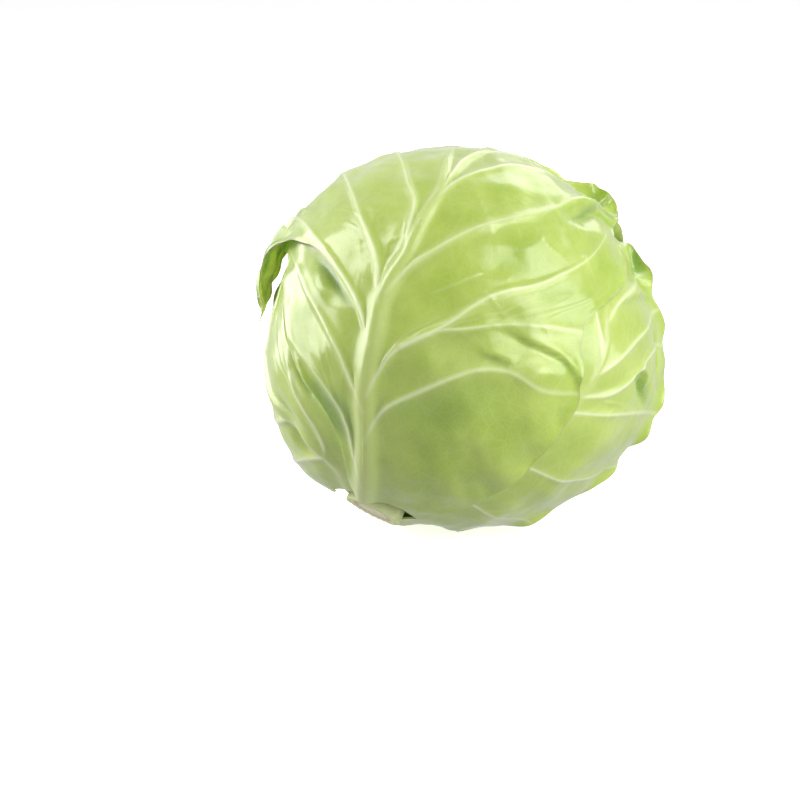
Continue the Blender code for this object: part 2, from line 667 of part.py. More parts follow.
def heart_points(leaves):
    """The dense heart: rings about the stem's axis, with three leaf margins lapping its crown."""
    rings, spokes = HEART_GRID
    tilt = np.radians(np.linspace(12.5, 180.0, rings + 1)[:-1])
    turn = np.radians(np.arange(spokes) * 360.0 / spokes)
    tilt, turn = np.meshgrid(tilt, turn, indexing="ij")
    meridian = np.cos(turn)[..., None] * FRONT_MERIDIAN + np.sin(turn)[..., None] * SIDE_MERIDIAN
    direction = np.cos(tilt)[..., None] * STEM_AXIS + np.sin(tilt)[..., None] * meridian
    depth = cover_depth(leaves, direction) + HEART_SLACK
    lap = np.zeros(tilt.shape)
    for number in range(3):
        swirl = np.degrees(turn) - 120.0 * number - 0.9 * (180.0 - np.degrees(tilt))
        ramp = (swirl % 360.0) / 360.0
        lap = np.maximum(lap, (1.0 - ramp) ** 6)
    crown = smoothstep(np.degrees(tilt), 128.0, 150.0) * (1.0 - smoothstep(np.degrees(tilt), 168.0, 180.0))
    points = on_head(direction, (LAP_STEP * lap - CROWN_DIP) * crown, depth)
    reach = (STEM_RADIUS + STEM_GAP) * MM
    floor = STEM_AXIS * (STEM_INNER - STEM_GAP) * MM
    mouth = points[0] @ STEM_AXIS
    socket = (floor + meridian[0] * reach, mouth[:, None] * STEM_AXIS + meridian[0] * reach)
    apex = -STEM_AXIS
    top = on_head(apex[None], np.zeros(1), cover_depth(leaves, apex[None]) + HEART_SLACK + CROWN_DIP)[0]
    return floor, np.concatenate((np.array(socket), points)), top


def closed_turning(base, grid, top):
    """Faces of a closed body made of rings, with a point at each end."""
    rings, spokes = grid.shape[:2]
    index = np.arange(rings * spokes).reshape(rings, spokes)
    index = np.concatenate((index, index[:, :1]), axis=1) + 1
    last = rings * spokes + 1
    points = np.concatenate((base[None], grid.reshape(-1, 3), top[None]))
    faces = [grid_triangles(index, points)]
    faces.append(np.stack((np.zeros(spokes, int), index[0, 1:], index[0, :-1]), axis=1))
    faces.append(np.stack((np.full(spokes, last), index[-1, :-1], index[-1, 1:]), axis=1))
    return points, np.concatenate(faces)


def stem_points():
    """The cut stem: a short stump along the stem axis, a little wider at its cut end."""
    turn = np.radians(np.arange(STEM_SIDES) * 360.0 / STEM_SIDES)[:, None]
    ring = np.cos(turn) * FRONT_MERIDIAN + np.sin(turn) * SIDE_MERIDIAN
    profile = (
        (STEM_RADIUS - 0.6, STEM_INNER),
        (STEM_RADIUS - 0.2, STEM_OUTER - 3.0),
        (STEM_RADIUS, STEM_OUTER - 1.0),
        (STEM_RADIUS - 0.8, STEM_OUTER),
    )
    grid = np.array([(STEM_AXIS * height + ring * reach) * MM for reach, height in reversed(profile)])
    base = STEM_AXIS * (STEM_OUTER - 0.3) * MM
    top = STEM_AXIS * STEM_INNER * MM
    return base, grid, top


def main():
    for thing in list(bpy.data.objects):
        bpy.data.objects.remove(thing, do_unlink=True)
    front, left, right, back = front_leaf(), left_leaf(), right_leaf(), back_leaf()
    left.above = (front,)
    right.above = (left, front)
    back.above = (right, left, front)
    solids = {}
    for leaf in (front, left, right, back):
        tear_column = TEAR_COLUMN if "left high" in leaf.sides else 0
        solids[leaf.name] = thicken(*leaf_sheet(leaf, LEAF_COLUMNS[leaf.name], tear_column))
    solids["heart"] = closed_turning(*heart_points((back, right, left, front)))
    solids["stem"] = closed_turning(*stem_points())
    everything = np.concatenate([points for points, _ in solids.values()])
    low, high = everything.min(axis=0), everything.max(axis=0)
    origin = np.array((0.5 * (low[0] + high[0]), 0.5 * (low[1] + high[1]), low[2]))
    colours = {
        "heart": ((0.52, 0.66, 0.24), 0.45),
        "stem": ((0.75, 0.74, 0.52), 0.70),
    }
    for name, (points, faces) in solids.items():
        colour, roughness = colours.get(name, ((0.44, 0.63, 0.17), 0.40))
        make_object(name, points - origin, faces, colour, roughness)


main()
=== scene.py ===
"""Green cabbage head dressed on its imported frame: four wrapper leaves, heart, cut stem and stage.

Every leaf is drawn flat first. Its midrib and side veins are lines in millimetres on a map of the
head, and the map is then laid on the head like the real leaf. Metres, +Z up, the table at z = 0.
"""
import json
import math

import bpy
import numpy as np
from bpy.props import FloatProperty, FloatVectorProperty, PointerProperty
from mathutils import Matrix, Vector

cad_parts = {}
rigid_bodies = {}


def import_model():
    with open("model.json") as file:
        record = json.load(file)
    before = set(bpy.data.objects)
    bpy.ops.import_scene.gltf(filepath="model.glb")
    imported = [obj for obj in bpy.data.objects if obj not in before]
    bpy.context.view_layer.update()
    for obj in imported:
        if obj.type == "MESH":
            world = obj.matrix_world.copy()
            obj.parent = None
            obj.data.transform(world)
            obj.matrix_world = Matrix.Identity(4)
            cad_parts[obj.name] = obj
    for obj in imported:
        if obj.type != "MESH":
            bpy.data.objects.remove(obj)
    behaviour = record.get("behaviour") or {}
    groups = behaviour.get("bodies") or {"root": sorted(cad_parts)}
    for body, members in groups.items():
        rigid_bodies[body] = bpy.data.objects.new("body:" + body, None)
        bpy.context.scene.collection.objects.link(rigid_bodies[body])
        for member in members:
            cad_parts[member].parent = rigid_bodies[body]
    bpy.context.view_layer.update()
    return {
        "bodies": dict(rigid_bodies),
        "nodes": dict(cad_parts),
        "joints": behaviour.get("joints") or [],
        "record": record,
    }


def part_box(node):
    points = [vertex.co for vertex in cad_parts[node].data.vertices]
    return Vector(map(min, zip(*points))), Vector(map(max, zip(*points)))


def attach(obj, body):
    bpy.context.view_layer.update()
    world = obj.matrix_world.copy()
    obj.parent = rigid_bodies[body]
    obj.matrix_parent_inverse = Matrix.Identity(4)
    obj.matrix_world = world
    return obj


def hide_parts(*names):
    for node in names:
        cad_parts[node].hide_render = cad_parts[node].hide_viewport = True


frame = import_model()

bl_info = {
    "name": "Green cabbage head",
    "version": (1, 0, 0),
    "blender": (4, 5, 0),
    "location": "3D View > Sidebar > Cabbage",
    "description": "Makes the leaves, heart and cut stem of a green cabbage head, and a plain studio",
    "category": "Add Mesh",
}

MM = 0.001

# The head: half its width, its depth and its height, and how far its flat spot lies below its centre.
HEAD_RADII = (0.0925, 0.0885, 0.0885)
REST_DEPTH = 0.0862

# This many millimetres on a leaf's map are one radian as seen from the centre of the head.
MAP_RADIUS = 90.0

# The stem points down, forward and to the left. The front leaf's midrib starts the longitudes.
STEM_AXIS = (-0.450, -0.405, -0.796)
FRONT_MERIDIAN = (-0.278, -0.783, 0.556)

# Places where the whole head swells or dips: direction, height in mm, and width in degrees.
HEAD_SWELLS = (
    ((-0.82, -0.10, -0.57), 5.5, 24.0),
    ((-0.93, -0.08, -0.36), -2.5, 11.0),
    ((-0.98, -0.05, 0.14), -5.0, 17.0),
    ((-0.55, 0.20, 0.81), 3.5, 20.0),
    ((0.61, 0.19, 0.77), -4.0, 16.0),
    ((0.92, -0.08, 0.38), -5.5, 15.0),
    ((0.95, -0.10, -0.30), 2.5, 18.0),
    ((0.99, -0.10, -0.05), -1.5, 40.0),
)

BLADE = 0.9            # thickness of a leaf blade, mm
LEAF_PITCH = 2.6       # room that one leaf takes over the next one, mm
COVER_EDGE = (2.0, 24.0)   # over this distance outside a leaf the ones below rise to meet it, mm

TEAR_START = 38.0      # the torn edge begins this far from the midrib, mm
TEAR_LIFT = 3.4        # how far the upper side of the tear stands off the lower side, mm
TEAR_SPREAD = 42.0     # how far from the tear that lift reaches, mm
TEAR_EASE = 6.0        # the lift begins this far short of the tear's start, mm
TEAR_CLIMB = 32.0      # and is whole this far past it, mm
FLAP_ROWS = (0.0, 1.2, 2.0)       # rows of the torn corner, and the share of each that lies on the head
FLAP_ROOTED = (0.62, 0.85, 1.0)

PLEAT_RAMP = 30.0      # a pleat grows over this distance along its rows, mm
PLEAT_END = (-2.0, 10.0)   # and dies away over these distances from the margin, mm
PLEAT_PHASE = 0.6      # where its wave across the rows begins, radians
PLEAT_SLANT = 2.0      # its slow turn for each row, and for each mm along the row, radians
PLEAT_TURN = 0.06
PLEAT_LIGHT = 1.6      # how fast its bottoms take painted light and its tops painted shade, and the most painted shade they take
PLEAT_SHADE = 1.4
PLEAT_DARKEST = 0.8

RIB_TAPER = 0.55       # power by which a midrib thins from its base to its tip
VEIN_TAPER = 0.7       # the same for a side vein
MIDRIB_FLATNESS = 2.4  # power that gives the midrib its flat top
MIDRIB_REACH = 0.62    # reach of the midrib's ridge, and of its colour, as shares of its width
MIDRIB_PAINT = 0.52
VEIN_REACH = 0.75      # reach of a side vein's ridge, as a share of its width
VEIN_RISE = 0.85       # share of its drawn height that a side vein stands up
RIB_SINK = 0.85        # share of a rib's height that a leaf lying over it presses flat

TWIG_STARTS = (0.10, 0.22, 0.34, 0.47, 0.60, 0.73, 0.85)   # where branch veins leave, as shares of a vein
TWIG_SCATTER = 0.04    # the most that such a start moves either way
TWIG_FORWARD = 0.16    # share of the row by which a branch has moved on where it meets the next vein
TWIG_POINTS = 14       # points of a branch vein's line
TWIG_ROOM = 13.0       # branch veins grow only where two side veins are further apart than this, mm
TWIG_CLEAR = (4.0, 14.0)   # they fade in over these distances from the midrib, mm
TWIG_WIDTH = 0.75      # reach of a branch vein to each side of its line, mm
TWIG_SHARE = 0.55      # strength of a branch vein in its mask, beside a thread
THREAD_WIDTH = 0.8     # reach of a thread to each side of its line, mm
TWIG_RISE = 0.35       # height of a thread, mm

CREASE_EDGE = 1.2      # a crease steps from low to high over about this distance, mm
CREASE_PROUD = 0.4     # share of its height by which the blade stands up on both sides of it
CREASE_SHADE = 0.45    # how much painted shade lies along a crease
LOW_SHADE = 1.1        # how far that painted shade reaches down the low side, and up the high side, mm
HIGH_SHADE = 0.6
CREASE_POINTS = 40     # points of a crease's line
DENT_SHADE = (0.4, 1.3)    # a dent's painted shade is whole out to the first share of its size, gone at the second

MARGIN_TAPER = 6.0     # a blade thins to its margin over this distance, mm
LIP_WIDTH = 4.0        # width of the lip that turns out along a free edge, mm
LIP_LEVEL = 0.6        # the even share of its turn, and the share that comes and goes
LIP_CHANGE = 0.5
COVER_HOLD = (0.1, 0.6)    # a margin stops bending out as a leaf covers it between these shares
EDGE_REACH = 30.0      # the edge mask counts up to this distance from a free edge, mm
NOTCH_PACE = 9.0       # millimetres of wave along the margin from one drawn row to the next
FINE_SWELL = 0.25      # share of the blade's swell that its smaller hills have

# Soft waves: wavelength in millimetres, and the seed of their directions and phases.
NOTCH_WAVES = (5.0, 11)
SWELL_WAVES = (26.0, 3)
FINE_SWELL_WAVES = (12.0, 5)
LIP_WAVES = (22.0, 8)
CROWN_WAVES = (26.0, 9)

RIB_BAND = 10.0        # the columns lie close together this near to the midrib, mm
EDGE_BAND = 12.0       # and this near to the margin, mm
BAND_SHARE = 0.25      # but neither band is more than this share of a row
BAND_PART = 7          # one column in this many lies in each band
ROW_STEP = 2.0         # widest step between two rows, at the margin, mm
MIDRIB_STEP = 2.4      # widest step between two rows, at the midrib, mm
SHARP_ANGLE = 60.0     # faces that meet at more than this are shaded with a sharp edge, degrees

# Columns of a half leaf from midrib to margin, and the front leaf's column where the tear starts.
FRONT_COLUMNS = 96
TEAR_COLUMN = 36
LEAF_COLUMNS = 80

HEART_SLACK = 1.4      # room between the heart and the innermost leaf, mm
HEART_MOUTH = 12.5     # angle from the stem at which the heart's outside begins, degrees
HEART_RINGS = 110
HEART_SPOKES = 280
HEART_LAPS = 3         # leaf margins that lap the heart's crown
CROWN_RISE = (128.0, 150.0)   # angles from the stem over which the crown's folds grow, degrees
CROWN_FALL = (168.0, 180.0)   # and over which they fade again
CROWN_DEGREE = 1.5     # a degree on the heart counts as this many millimetres for its waves
LAP_RISE = 1.6         # heights on the crown, mm: a lapping margin, the dip beside it, a vein, a swell
CROWN_DIP = 1.0
CROWN_VEIN = 0.5
CROWN_SWELL = 0.3

STEM_RADIUS = 14.0     # cut stem: its radius, and where it starts and ends from the head's centre, mm
STEM_GAP = 0.5         # room round the stem in its socket, mm
STEM_INNER = 76.0
STEM_OUTER = 91.5
STEM_TAPER = 0.6       # how much thinner it is at its inner end, mm
STEM_GRAIN = 0.10      # height of the fibres on the cut face, mm
STEM_SIDES = 120

# How much light soaks into the leaves, as the shader's subsurface weight.
FRONT_GLOW = 0.40
LEAF_GLOW = 0.30
HEART_GLOW = 0.20

# Details too fine for the solids, on each leaf's map in millimetres. A crease is (line, height,
# spread). A dent is (side or "" for all, middle, height, along, across, degrees, how much painted
# shade it gets). A thread is a thin vein. A pleat is (side, first row, last row, period in rows, height,
# where it starts).
FINE_CREASES = {
    "front_leaf": (
        (((17, 5), (28, -1), (37, -5), (45, -9), (50, -14), (54, -19), (58, -27)), 1.2, 5.0),
        (((7, -7), (15, -9), (23, -12)), 1.0, 4.0),
        (((104, 70), (94, 77), (84, 79), (70, 71), (57, 63)), -1.6, 6.0),
    ),
    "right_leaf": (
        (((3, 41), (12, 48), (20, 54), (34, 62), (50, 69)), 1.8, 6.0),
        (((31, 18), (36, 23), (41, 23), (44, 18), (49, 15), (58, 14)), 1.8, 3.0),
    ),
}
FINE_DENTS = {
    "front_leaf": (
        ("left low", (-62, 30), -2.4, 22.0, 5.0, -47.0, 0.8),
        ("left low", (-75, 26), 1.2, 13.0, 6.0, -50.0, 0.0),
        ("left low", (-63, -38), -2.0, 18.0, 10.0, -48.0, 0.8),
        ("", (-12, -30), -0.5, 30.0, 13.0, 12.0, 0.3),
        ("left low", (-81, -17), 1.8, 14.0, 2.4, -62.0, 0.0),
        ("right", (15, -11), -1.3, 9.0, 4.5, -15.0, 0.1),
        ("right", (33, -16), 1.3, 11.0, 5.0, -8.0, 0.0),
        ("right", (32, 9), 1.2, 16.0, 7.0, -25.0, 0.0),
        ("right", (90, 97), -3.0, 12.0, 5.0, 15.0, 0.9),
        ("right", (70, 71), -0.8, 13.0, 1.5, 33.0, 0.9),
        ("right", (94, 80), -1.0, 9.0, 3.0, -20.0, 0.9),
    ),
    "left_leaf": (
        ("", (17, -79), -3.4, 15.0, 7.0, 92.0, 0.7),
        ("", (39, -56), -2.8, 15.0, 4.0, 109.0, 0.9),
    ),
    "right_leaf": (
        ("right", (36, 86), -3.0, 12.0, 6.0, 105.0, 0.8),
        ("right", (56, 39), -2.4, 11.0, 2.8, 120.0, 0.6),
        ("right", (44, 18), -2.2, 10.0, 3.4, -12.0, 0.75),
    ),
}
FINE_THREADS = {
    "front_leaf": (
        ((21, -13), (33, -11), (45, -12)),
        ((14, 50), (12, 57), (8, 72), (4, 79)),
        ((-19, 54), (-22, 60), (-27, 82), (-34, 106)),
        ((-5, 76), (-6, 81), (-8, 104)),
        ((36, 52), (41, 44), (48, 39), (51, 35)),
        ((10, 21), (13, 17), (20, 8)),
        ((60, 40), (64, 33), (68, 24)),
        ((8, 29), (-3, 24), (-14, 20)),
    ),
    "right_leaf": (
        ((24, 16), (31, 22), (38, 36), (44, 48)),
        ((20, 0), (31, 4), (44, 6)),
    ),
}
FINE_PLEATS = {
    "front_leaf": (
        ("left high", -0.4, 2.0, 0.62, 3.0, 82.0),
    ),
}

LEAF_MAP_SPAN = 100.0  # millimetres of leaf in one unit of the leaf map's texture coordinates


def unit(vector):
    """Scale vectors to length one along their last axis."""
    vector = np.asarray(vector, float)
    return vector / np.linalg.norm(vector, axis=-1, keepdims=True)


STEM_AXIS = unit(STEM_AXIS)
FRONT_MERIDIAN = unit(FRONT_MERIDIAN)
SIDE_MERIDIAN = np.cross(-STEM_AXIS, FRONT_MERIDIAN)


def stem_frame(longitude, colatitude):
    """Map frame centred at a longitude and an angle from the stem: centre, right and up."""
    turn = math.radians(longitude)
    tilt = math.radians(colatitude)
    meridian = math.cos(turn) * FRONT_MERIDIAN + math.sin(turn) * SIDE_MERIDIAN
    centre = math.cos(tilt) * STEM_AXIS + math.sin(tilt) * meridian
    upward = math.cos(tilt) * meridian - math.sin(tilt) * STEM_AXIS
    return centre, np.cross(upward, centre), upward


def facing_frame(elevation):
    """Map frame centred on the front of the head, an elevation above the horizon."""
    tilt = math.radians(elevation)
    centre = np.array((0.0, -math.cos(tilt), math.sin(tilt)))
    upward = np.array((0.0, math.sin(tilt), math.cos(tilt)))
    return centre, np.cross(upward, centre), upward


def map_to_direction(frame, spots):
    """Distance and bearing from the map's centre become an angle and a bearing on the sphere."""
    centre, right, upward = frame
    reach = np.linalg.norm(spots, axis=-1, keepdims=True)
    bearing = spots / np.maximum(reach, 1e-9)
    angle = reach / MAP_RADIUS
    sideways = bearing[..., :1] * right + bearing[..., 1:] * upward
    return np.cos(angle) * centre + np.sin(angle) * sideways


def direction_to_map(frame, direction):
    """The inverse of map_to_direction."""
    centre, right, upward = frame
    across = np.stack((direction @ right, direction @ upward), axis=-1)
    sine = np.linalg.norm(across, axis=-1, keepdims=True)
    angle = np.arctan2(sine[..., 0], direction @ centre)[..., None]
    return across / np.maximum(sine, 1e-9) * angle * MAP_RADIUS


def smoothstep(value, low, high):
    """Zero below low, one above high, and a smooth S between."""
    ramp = np.clip((value - low) / (high - low), 0.0, 1.0)
    return ramp * ramp * (3.0 - 2.0 * ramp)


def head_radius(direction):
    """Ellipsoid radius along a direction, plus a bell-shaped bump for each swell, in metres."""
    radius = 1.0 / np.sqrt(((direction / np.array(HEAD_RADII)) ** 2).sum(axis=-1))
    for towards, height, width in HEAD_SWELLS:
        away = np.degrees(np.arccos(np.clip(direction @ unit(towards), -1.0, 1.0)))
        radius = radius + height * MM * np.exp(-(away / width) ** 2)
    return radius


def smooth_line(points, count):
    """Catmull-Rom curve through given points, resampled to even steps along its length."""
    points = np.asarray(points, float)
    chord = np.linalg.norm(np.diff(points, axis=0), axis=1)
    knots = np.concatenate(((0.0,), np.cumsum(np.sqrt(chord))))
    slopes = np.gradient(points, knots, axis=0)
    fine = np.linspace(0.0, knots[-1], 20 * len(points))
    cell = np.clip(np.searchsorted(knots, fine, side="right") - 1, 0, len(points) - 2)
    span = (knots[cell + 1] - knots[cell])[:, None]
    part = (fine - knots[cell])[:, None] / span
    curve = (
        (2 * part**3 - 3 * part**2 + 1) * points[cell]
        + (part**3 - 2 * part**2 + part) * span * slopes[cell]
        + (3 * part**2 - 2 * part**3) * points[cell + 1]
        + (part**3 - part**2) * span * slopes[cell + 1]
    )
    along = np.concatenate(((0.0,), np.cumsum(np.linalg.norm(np.diff(curve, axis=0), axis=1))))
    even = np.linspace(0.0, along[-1], count)
    return np.stack([np.interp(even, along, curve[:, axis]) for axis in range(2)], axis=1)


def even_slopes(table):
    """Slopes across a table's rows that never overshoot: harmonic means, or zero at a turning point."""
    change = np.diff(table, axis=0)
    before, after = change[:-1], change[1:]
    product = before * after
    both = np.where(np.abs(before + after) > 1e-9, before + after, 1.0)
    middle = np.where(product > 0.0, 2.0 * product / both, 0.0)
    return np.concatenate((change[:1], middle, change[-1:]))


def line_distance(spots, line):
    """Distance from map spots to a polyline, and how far along the line the nearest point is."""
    start = line[:-1]
    step = np.diff(line, axis=0)
    squared = np.maximum((step**2).sum(axis=1), 1e-12)
    best = np.full(spots.shape[:-1], np.inf)
    place = np.zeros(spots.shape[:-1])
    for index in range(len(start)):
        offset = spots - start[index]
        part = np.clip((offset @ step[index]) / squared[index], 0.0, 1.0)
        gap = np.linalg.norm(offset - part[..., None] * step[index], axis=-1)
        closer = gap < best
        best = np.where(closer, gap, best)
        place = np.where(closer, (index + part) / len(start), place)
    return best, place


def inside(spots, outline):
    """True where a map spot is inside a closed outline, by counting crossings."""
    found = np.zeros(spots.shape[:-1], bool)
    x, y = spots[..., 0], spots[..., 1]
    following = np.roll(outline, -1, axis=0)
    for (x0, y0), (x1, y1) in zip(outline, following):
        spans = (y0 > y) != (y1 > y)
        rise = y1 - y0 if y1 != y0 else 1e-9
        found ^= spans & (x < x0 + (y - y0) / rise * (x1 - x0))
    return found


class Leaf:
    """One leaf: its map frame, its midrib, and the rows that run from midrib to margin.

    Each row is (points, is_vein). Rows go from the base of the leaf to its tip on each side, and
    the last row is the tip line, which both sides share.
    """

    ROW_POINTS = 181
    MIDRIB_POINTS = 121
    BRANCH_POINTS = 61
    THREAD_POINTS = 31
    OUTLINE_ROWS = 40

    def __init__(self, name, frame, midrib, sides, tip, ribs, curls=(), waves=(), branches=(), creases=()):
        self.name = name
        self.frame = frame
        self.midrib = smooth_line(midrib, self.MIDRIB_POINTS)
        self.ribs = ribs
        self.curls = curls
        self.waves = waves
        self.branches = [smooth_line(points, self.BRANCH_POINTS) for points in branches]
        self.creases = creases
        self.dents = ()
        self.pleats = ()
        self.threads = []
        self.above = ()
        self.sides = {}
        for side, rows in sides.items():
            table = list(rows)
            if side != "left low":
                table.append((tip, False))
            starts = [self.nearest_on_midrib(points[0]) for points, _ in table]
            if side != "left high":
                starts[0] = 0.0
            if side != "left low":
                starts[-1] = 1.0
            lines = np.array([smooth_line(points, self.ROW_POINTS) for points, _ in table])
            veins = [index for index, row in enumerate(table) if row[1]]
            self.sides[side] = (np.array(starts), lines, veins)
        self.outline = self.margin_outline()

    def nearest_on_midrib(self, point):
        """Where along the midrib a point is nearest, from 0 at its base to 1 at its tip."""
        return float(line_distance(np.array([point], float), self.midrib)[1][0])

    def midrib_at(self, place):
        """Points of the midrib at places from 0 to 1."""
        index = place * (len(self.midrib) - 1)
        steps = np.arange(len(self.midrib))
        return np.stack([np.interp(index, steps, self.midrib[:, axis]) for axis in range(2)], axis=-1)

    def rows_at(self, side, places):
        """Rows starting at places along the midrib: the drawn rows blended by a cubic across them."""
        starts, lines, _ = self.sides[side]
        number = np.interp(places, starts, np.arange(len(starts)))
        cell = np.clip(number.astype(int), 0, len(starts) - 2)
        part = (number - cell)[:, None, None]
        slopes = even_slopes(lines)
        rows = (
            (2 * part**3 - 3 * part**2 + 1) * lines[cell]
            + (part**3 - 2 * part**2 + part) * slopes[cell]
            + (3 * part**2 - 2 * part**3) * lines[cell + 1]
            + (part**3 - part**2) * slopes[cell + 1]
        )
        fade = (1.0 - np.linspace(0.0, 1.0, self.ROW_POINTS))[None, :, None] ** 3
        return rows + (self.midrib_at(places) - rows[:, 0])[:, None, :] * fade, number

    def margin_outline(self):
        """The closed outline of the leaf on the map, for the leaves that it covers."""
        places = np.linspace(0.0, 1.0, self.OUTLINE_ROWS)
        right = self.rows_at("right", places)[0]
        if "left" in self.sides:
            left = self.rows_at("left", places)[0]
        else:
            tear = self.sides["left low"][0][-1]
            low = self.rows_at("left low", places[places < tear])[0]
            high, number = self.rows_at("left high", places[places > tear])
            share = np.interp(number, FLAP_ROWS, FLAP_ROOTED)
            rooted = (share * (self.ROW_POINTS - 1)).astype(int)
            high[:, -1] = high[np.arange(len(high)), rooted]
            left = np.concatenate((low, high))
        return np.concatenate((right[0], right[1:, -1], left[::-1, -1], left[0][::-1]))

    def veins(self):
        """The drawn side veins and branches, thinned to few points for measuring distances."""
        drawn = [lines[index][::4] for _, lines, indices in self.sides.values() for index in indices]
        return drawn + self.branches

    def twigs(self):
        """Branch veins: each leaves a side vein and bends over towards the next one on the same side.

        A branch is a line in row number and share of the row: the number goes from one vein half or
        all of the way to the next with a soft start, while the share moves on by up to TWIG_FORWARD.
        """
        random = np.random.default_rng(len(self.outline) + len(self.name))
        found = []
        for side, (starts, lines, veins) in self.sides.items():
            for low, high in zip(veins[:-1], veins[1:]):
                for share in TWIG_STARTS:
                    for first, last in ((low, high), (high, low)):
                        begin = share + random.uniform(-TWIG_SCATTER, TWIG_SCATTER)
                        reach = random.uniform(0.5, 1.0)
                        point = int(begin * (self.ROW_POINTS - 1))
                        if np.linalg.norm(lines[low, point] - lines[high, point]) < TWIG_ROOM:
                            continue
                        walk = np.linspace(0.0, reach, TWIG_POINTS)
                        number = first + (last - first) * walk**1.2
                        places = np.interp(number, np.arange(len(starts)), starts)
                        rows = self.rows_at(side, places)[0]
                        step = np.clip(begin + TWIG_FORWARD * walk, 0.0, 1.0) * (self.ROW_POINTS - 1)
                        found.append(rows[np.arange(TWIG_POINTS), step.astype(int)])
        return found


def row_places(leaf):
    """Places along the midrib, one on each drawn row, close enough that no step is wide anywhere."""
    keys = sorted({round(float(start), 6) for starts, _, _ in leaf.sides.values() for start in starts})
    places = [keys[0]]
    midrib_length = np.linalg.norm(np.diff(leaf.midrib, axis=0), axis=1).sum()
    for low, high in zip(keys[:-1], keys[1:]):
        reach = (high - low) * midrib_length / MIDRIB_STEP
        for side, (starts, _, _) in leaf.sides.items():
            if starts[0] <= low + 1e-5 and high - 1e-5 <= starts[-1]:
                ends = leaf.rows_at(side, np.linspace(low, high, 9))[0][:, -1]
                reach = max(reach, np.linalg.norm(np.diff(ends, axis=0), axis=1).sum() / ROW_STEP)
        places.extend(np.linspace(low, high, max(int(math.ceil(reach)), 1) + 1)[1:])
    return np.array(places)


def sample_rows(rows, distance):
    """Spots at given distances along each row, by straight steps between the row's own points."""
    step = np.linalg.norm(np.diff(rows, axis=1), axis=2)
    length = np.concatenate((np.zeros((len(rows), 1)), np.cumsum(step, axis=1)), axis=1)
    cell = (length[:, None, :] <= distance[..., None]).sum(axis=2) - 1
    cell = np.clip(cell, 0, step.shape[1] - 1)
    part = (distance - np.take_along_axis(length, cell, axis=1)) / np.take_along_axis(step, cell, axis=1)
    low = np.take_along_axis(rows, cell[..., None], axis=1)
    high = np.take_along_axis(rows, cell[..., None] + 1, axis=1)
    return low + (high - low) * np.clip(part, 0.0, 1.0)[..., None]


def column_distances(total, columns, tear_column):
    """Distances from the midrib along each row: close steps by the midrib and the margin, even ones
    between. On a torn side one column lies where the tear starts."""
    close = columns // BAND_PART
    near = np.minimum(RIB_BAND, BAND_SHARE * total) * np.linspace(0.0, 1.0, close + 1)
    edge = total - np.minimum(EDGE_BAND, BAND_SHARE * total) * np.linspace(1.0, 0.0, close + 1)
    first, last = close, columns - close - 1
    if tear_column:
        hold = np.minimum(TEAR_START, 0.5 * total)
        inner = near[:, -1:] + (hold - near[:, -1:]) * np.linspace(0.0, 1.0, tear_column - first + 1)
        outer = hold + (edge[:, :1] - hold) * np.linspace(0.0, 1.0, last - tear_column + 1)
        middle = np.concatenate((inner, outer[:, 1:]), axis=1)
    else:
        middle = near[:, -1:] + (edge[:, :1] - near[:, -1:]) * np.linspace(0.0, 1.0, last - first + 1)
    return np.concatenate((near, middle[:, 1:-1], edge), axis=1)


def soft_waves(spots, length, seed, count=12):
    """Smooth hills between about -1 and 1: the sum of a dozen sine waves of about one wavelength, in
    seeded directions and phases, over the root of half their number."""
    random = np.random.default_rng(seed)
    turn = random.uniform(0.0, 2.0 * np.pi, count)
    pace = 2.0 * np.pi / (length * random.uniform(0.7, 1.5, count))
    phase = random.uniform(0.0, 2.0 * np.pi, count)
    angle = spots[..., :1] * (np.cos(turn) * pace) + spots[..., 1:2] * (np.sin(turn) * pace) + phase
    return np.sin(angle).sum(axis=-1) / math.sqrt(0.5 * count)


def rib_relief(leaf, spots):
    """Height of the midrib and side veins, mm, and four masks: midrib, rib, halo and twig.

    The midrib is a flat-topped ridge, height * exp(-(gap / width)**2.4), that thins to its tip. A
    side vein is height * exp(-(gap / width)**2). The halo falls off over a few mm from each vein.
    """
    beside, place = line_distance(spots, leaf.midrib)
    width, height = leaf.ribs["midrib"]
    taper = np.maximum(1.0 - place, 0.02) ** RIB_TAPER
    relief = height * taper * np.exp(-((beside / (MIDRIB_REACH * width * taper)) ** MIDRIB_FLATNESS))
    midrib = np.exp(-((beside / (MIDRIB_PAINT * width * taper + 0.3)) ** 3.0)) * smoothstep(taper, 0.05, 0.5)
    rib = np.zeros(relief.shape)
    halo_and_painted_light = np.exp(-np.maximum(beside - 0.5 * width * taper, 0.0) / 5.0) * (0.4 + 0.6 * taper)
    width, height = leaf.ribs["vein"]
    for vein in leaf.veins():
        gap, place = line_distance(spots, vein)
        fade = np.maximum(1.0 - place, 0.0) ** VEIN_TAPER
        relief = np.maximum(relief, VEIN_RISE * height * fade * np.exp(-((gap / (VEIN_REACH * width)) ** 2)))
        thin = 0.42 + 0.50 * fade
        rib = np.maximum(rib, np.exp(-((gap / thin) ** 2)) * (0.25 + 0.75 * fade))
        halo_and_painted_light = np.maximum(halo_and_painted_light, np.exp(-gap / (2.0 + 4.0 * fade)) * (0.15 + 0.70 * fade))
    twig = np.zeros(relief.shape)
    clear = smoothstep(beside, *TWIG_CLEAR)
    for line in leaf.twigs():
        gap, place = line_distance(spots, line)
        bell = np.exp(-((gap / TWIG_WIDTH) ** 2))
        twig = np.maximum(twig, TWIG_SHARE * clear * bell * (1.0 - place) ** 0.8)
    for line in leaf.threads:
        gap, place = line_distance(spots, line)
        twig = np.maximum(twig, np.exp(-((gap / THREAD_WIDTH) ** 2)) * (1.0 - 0.7 * place))
    return relief, midrib, rib, halo_and_painted_light, twig


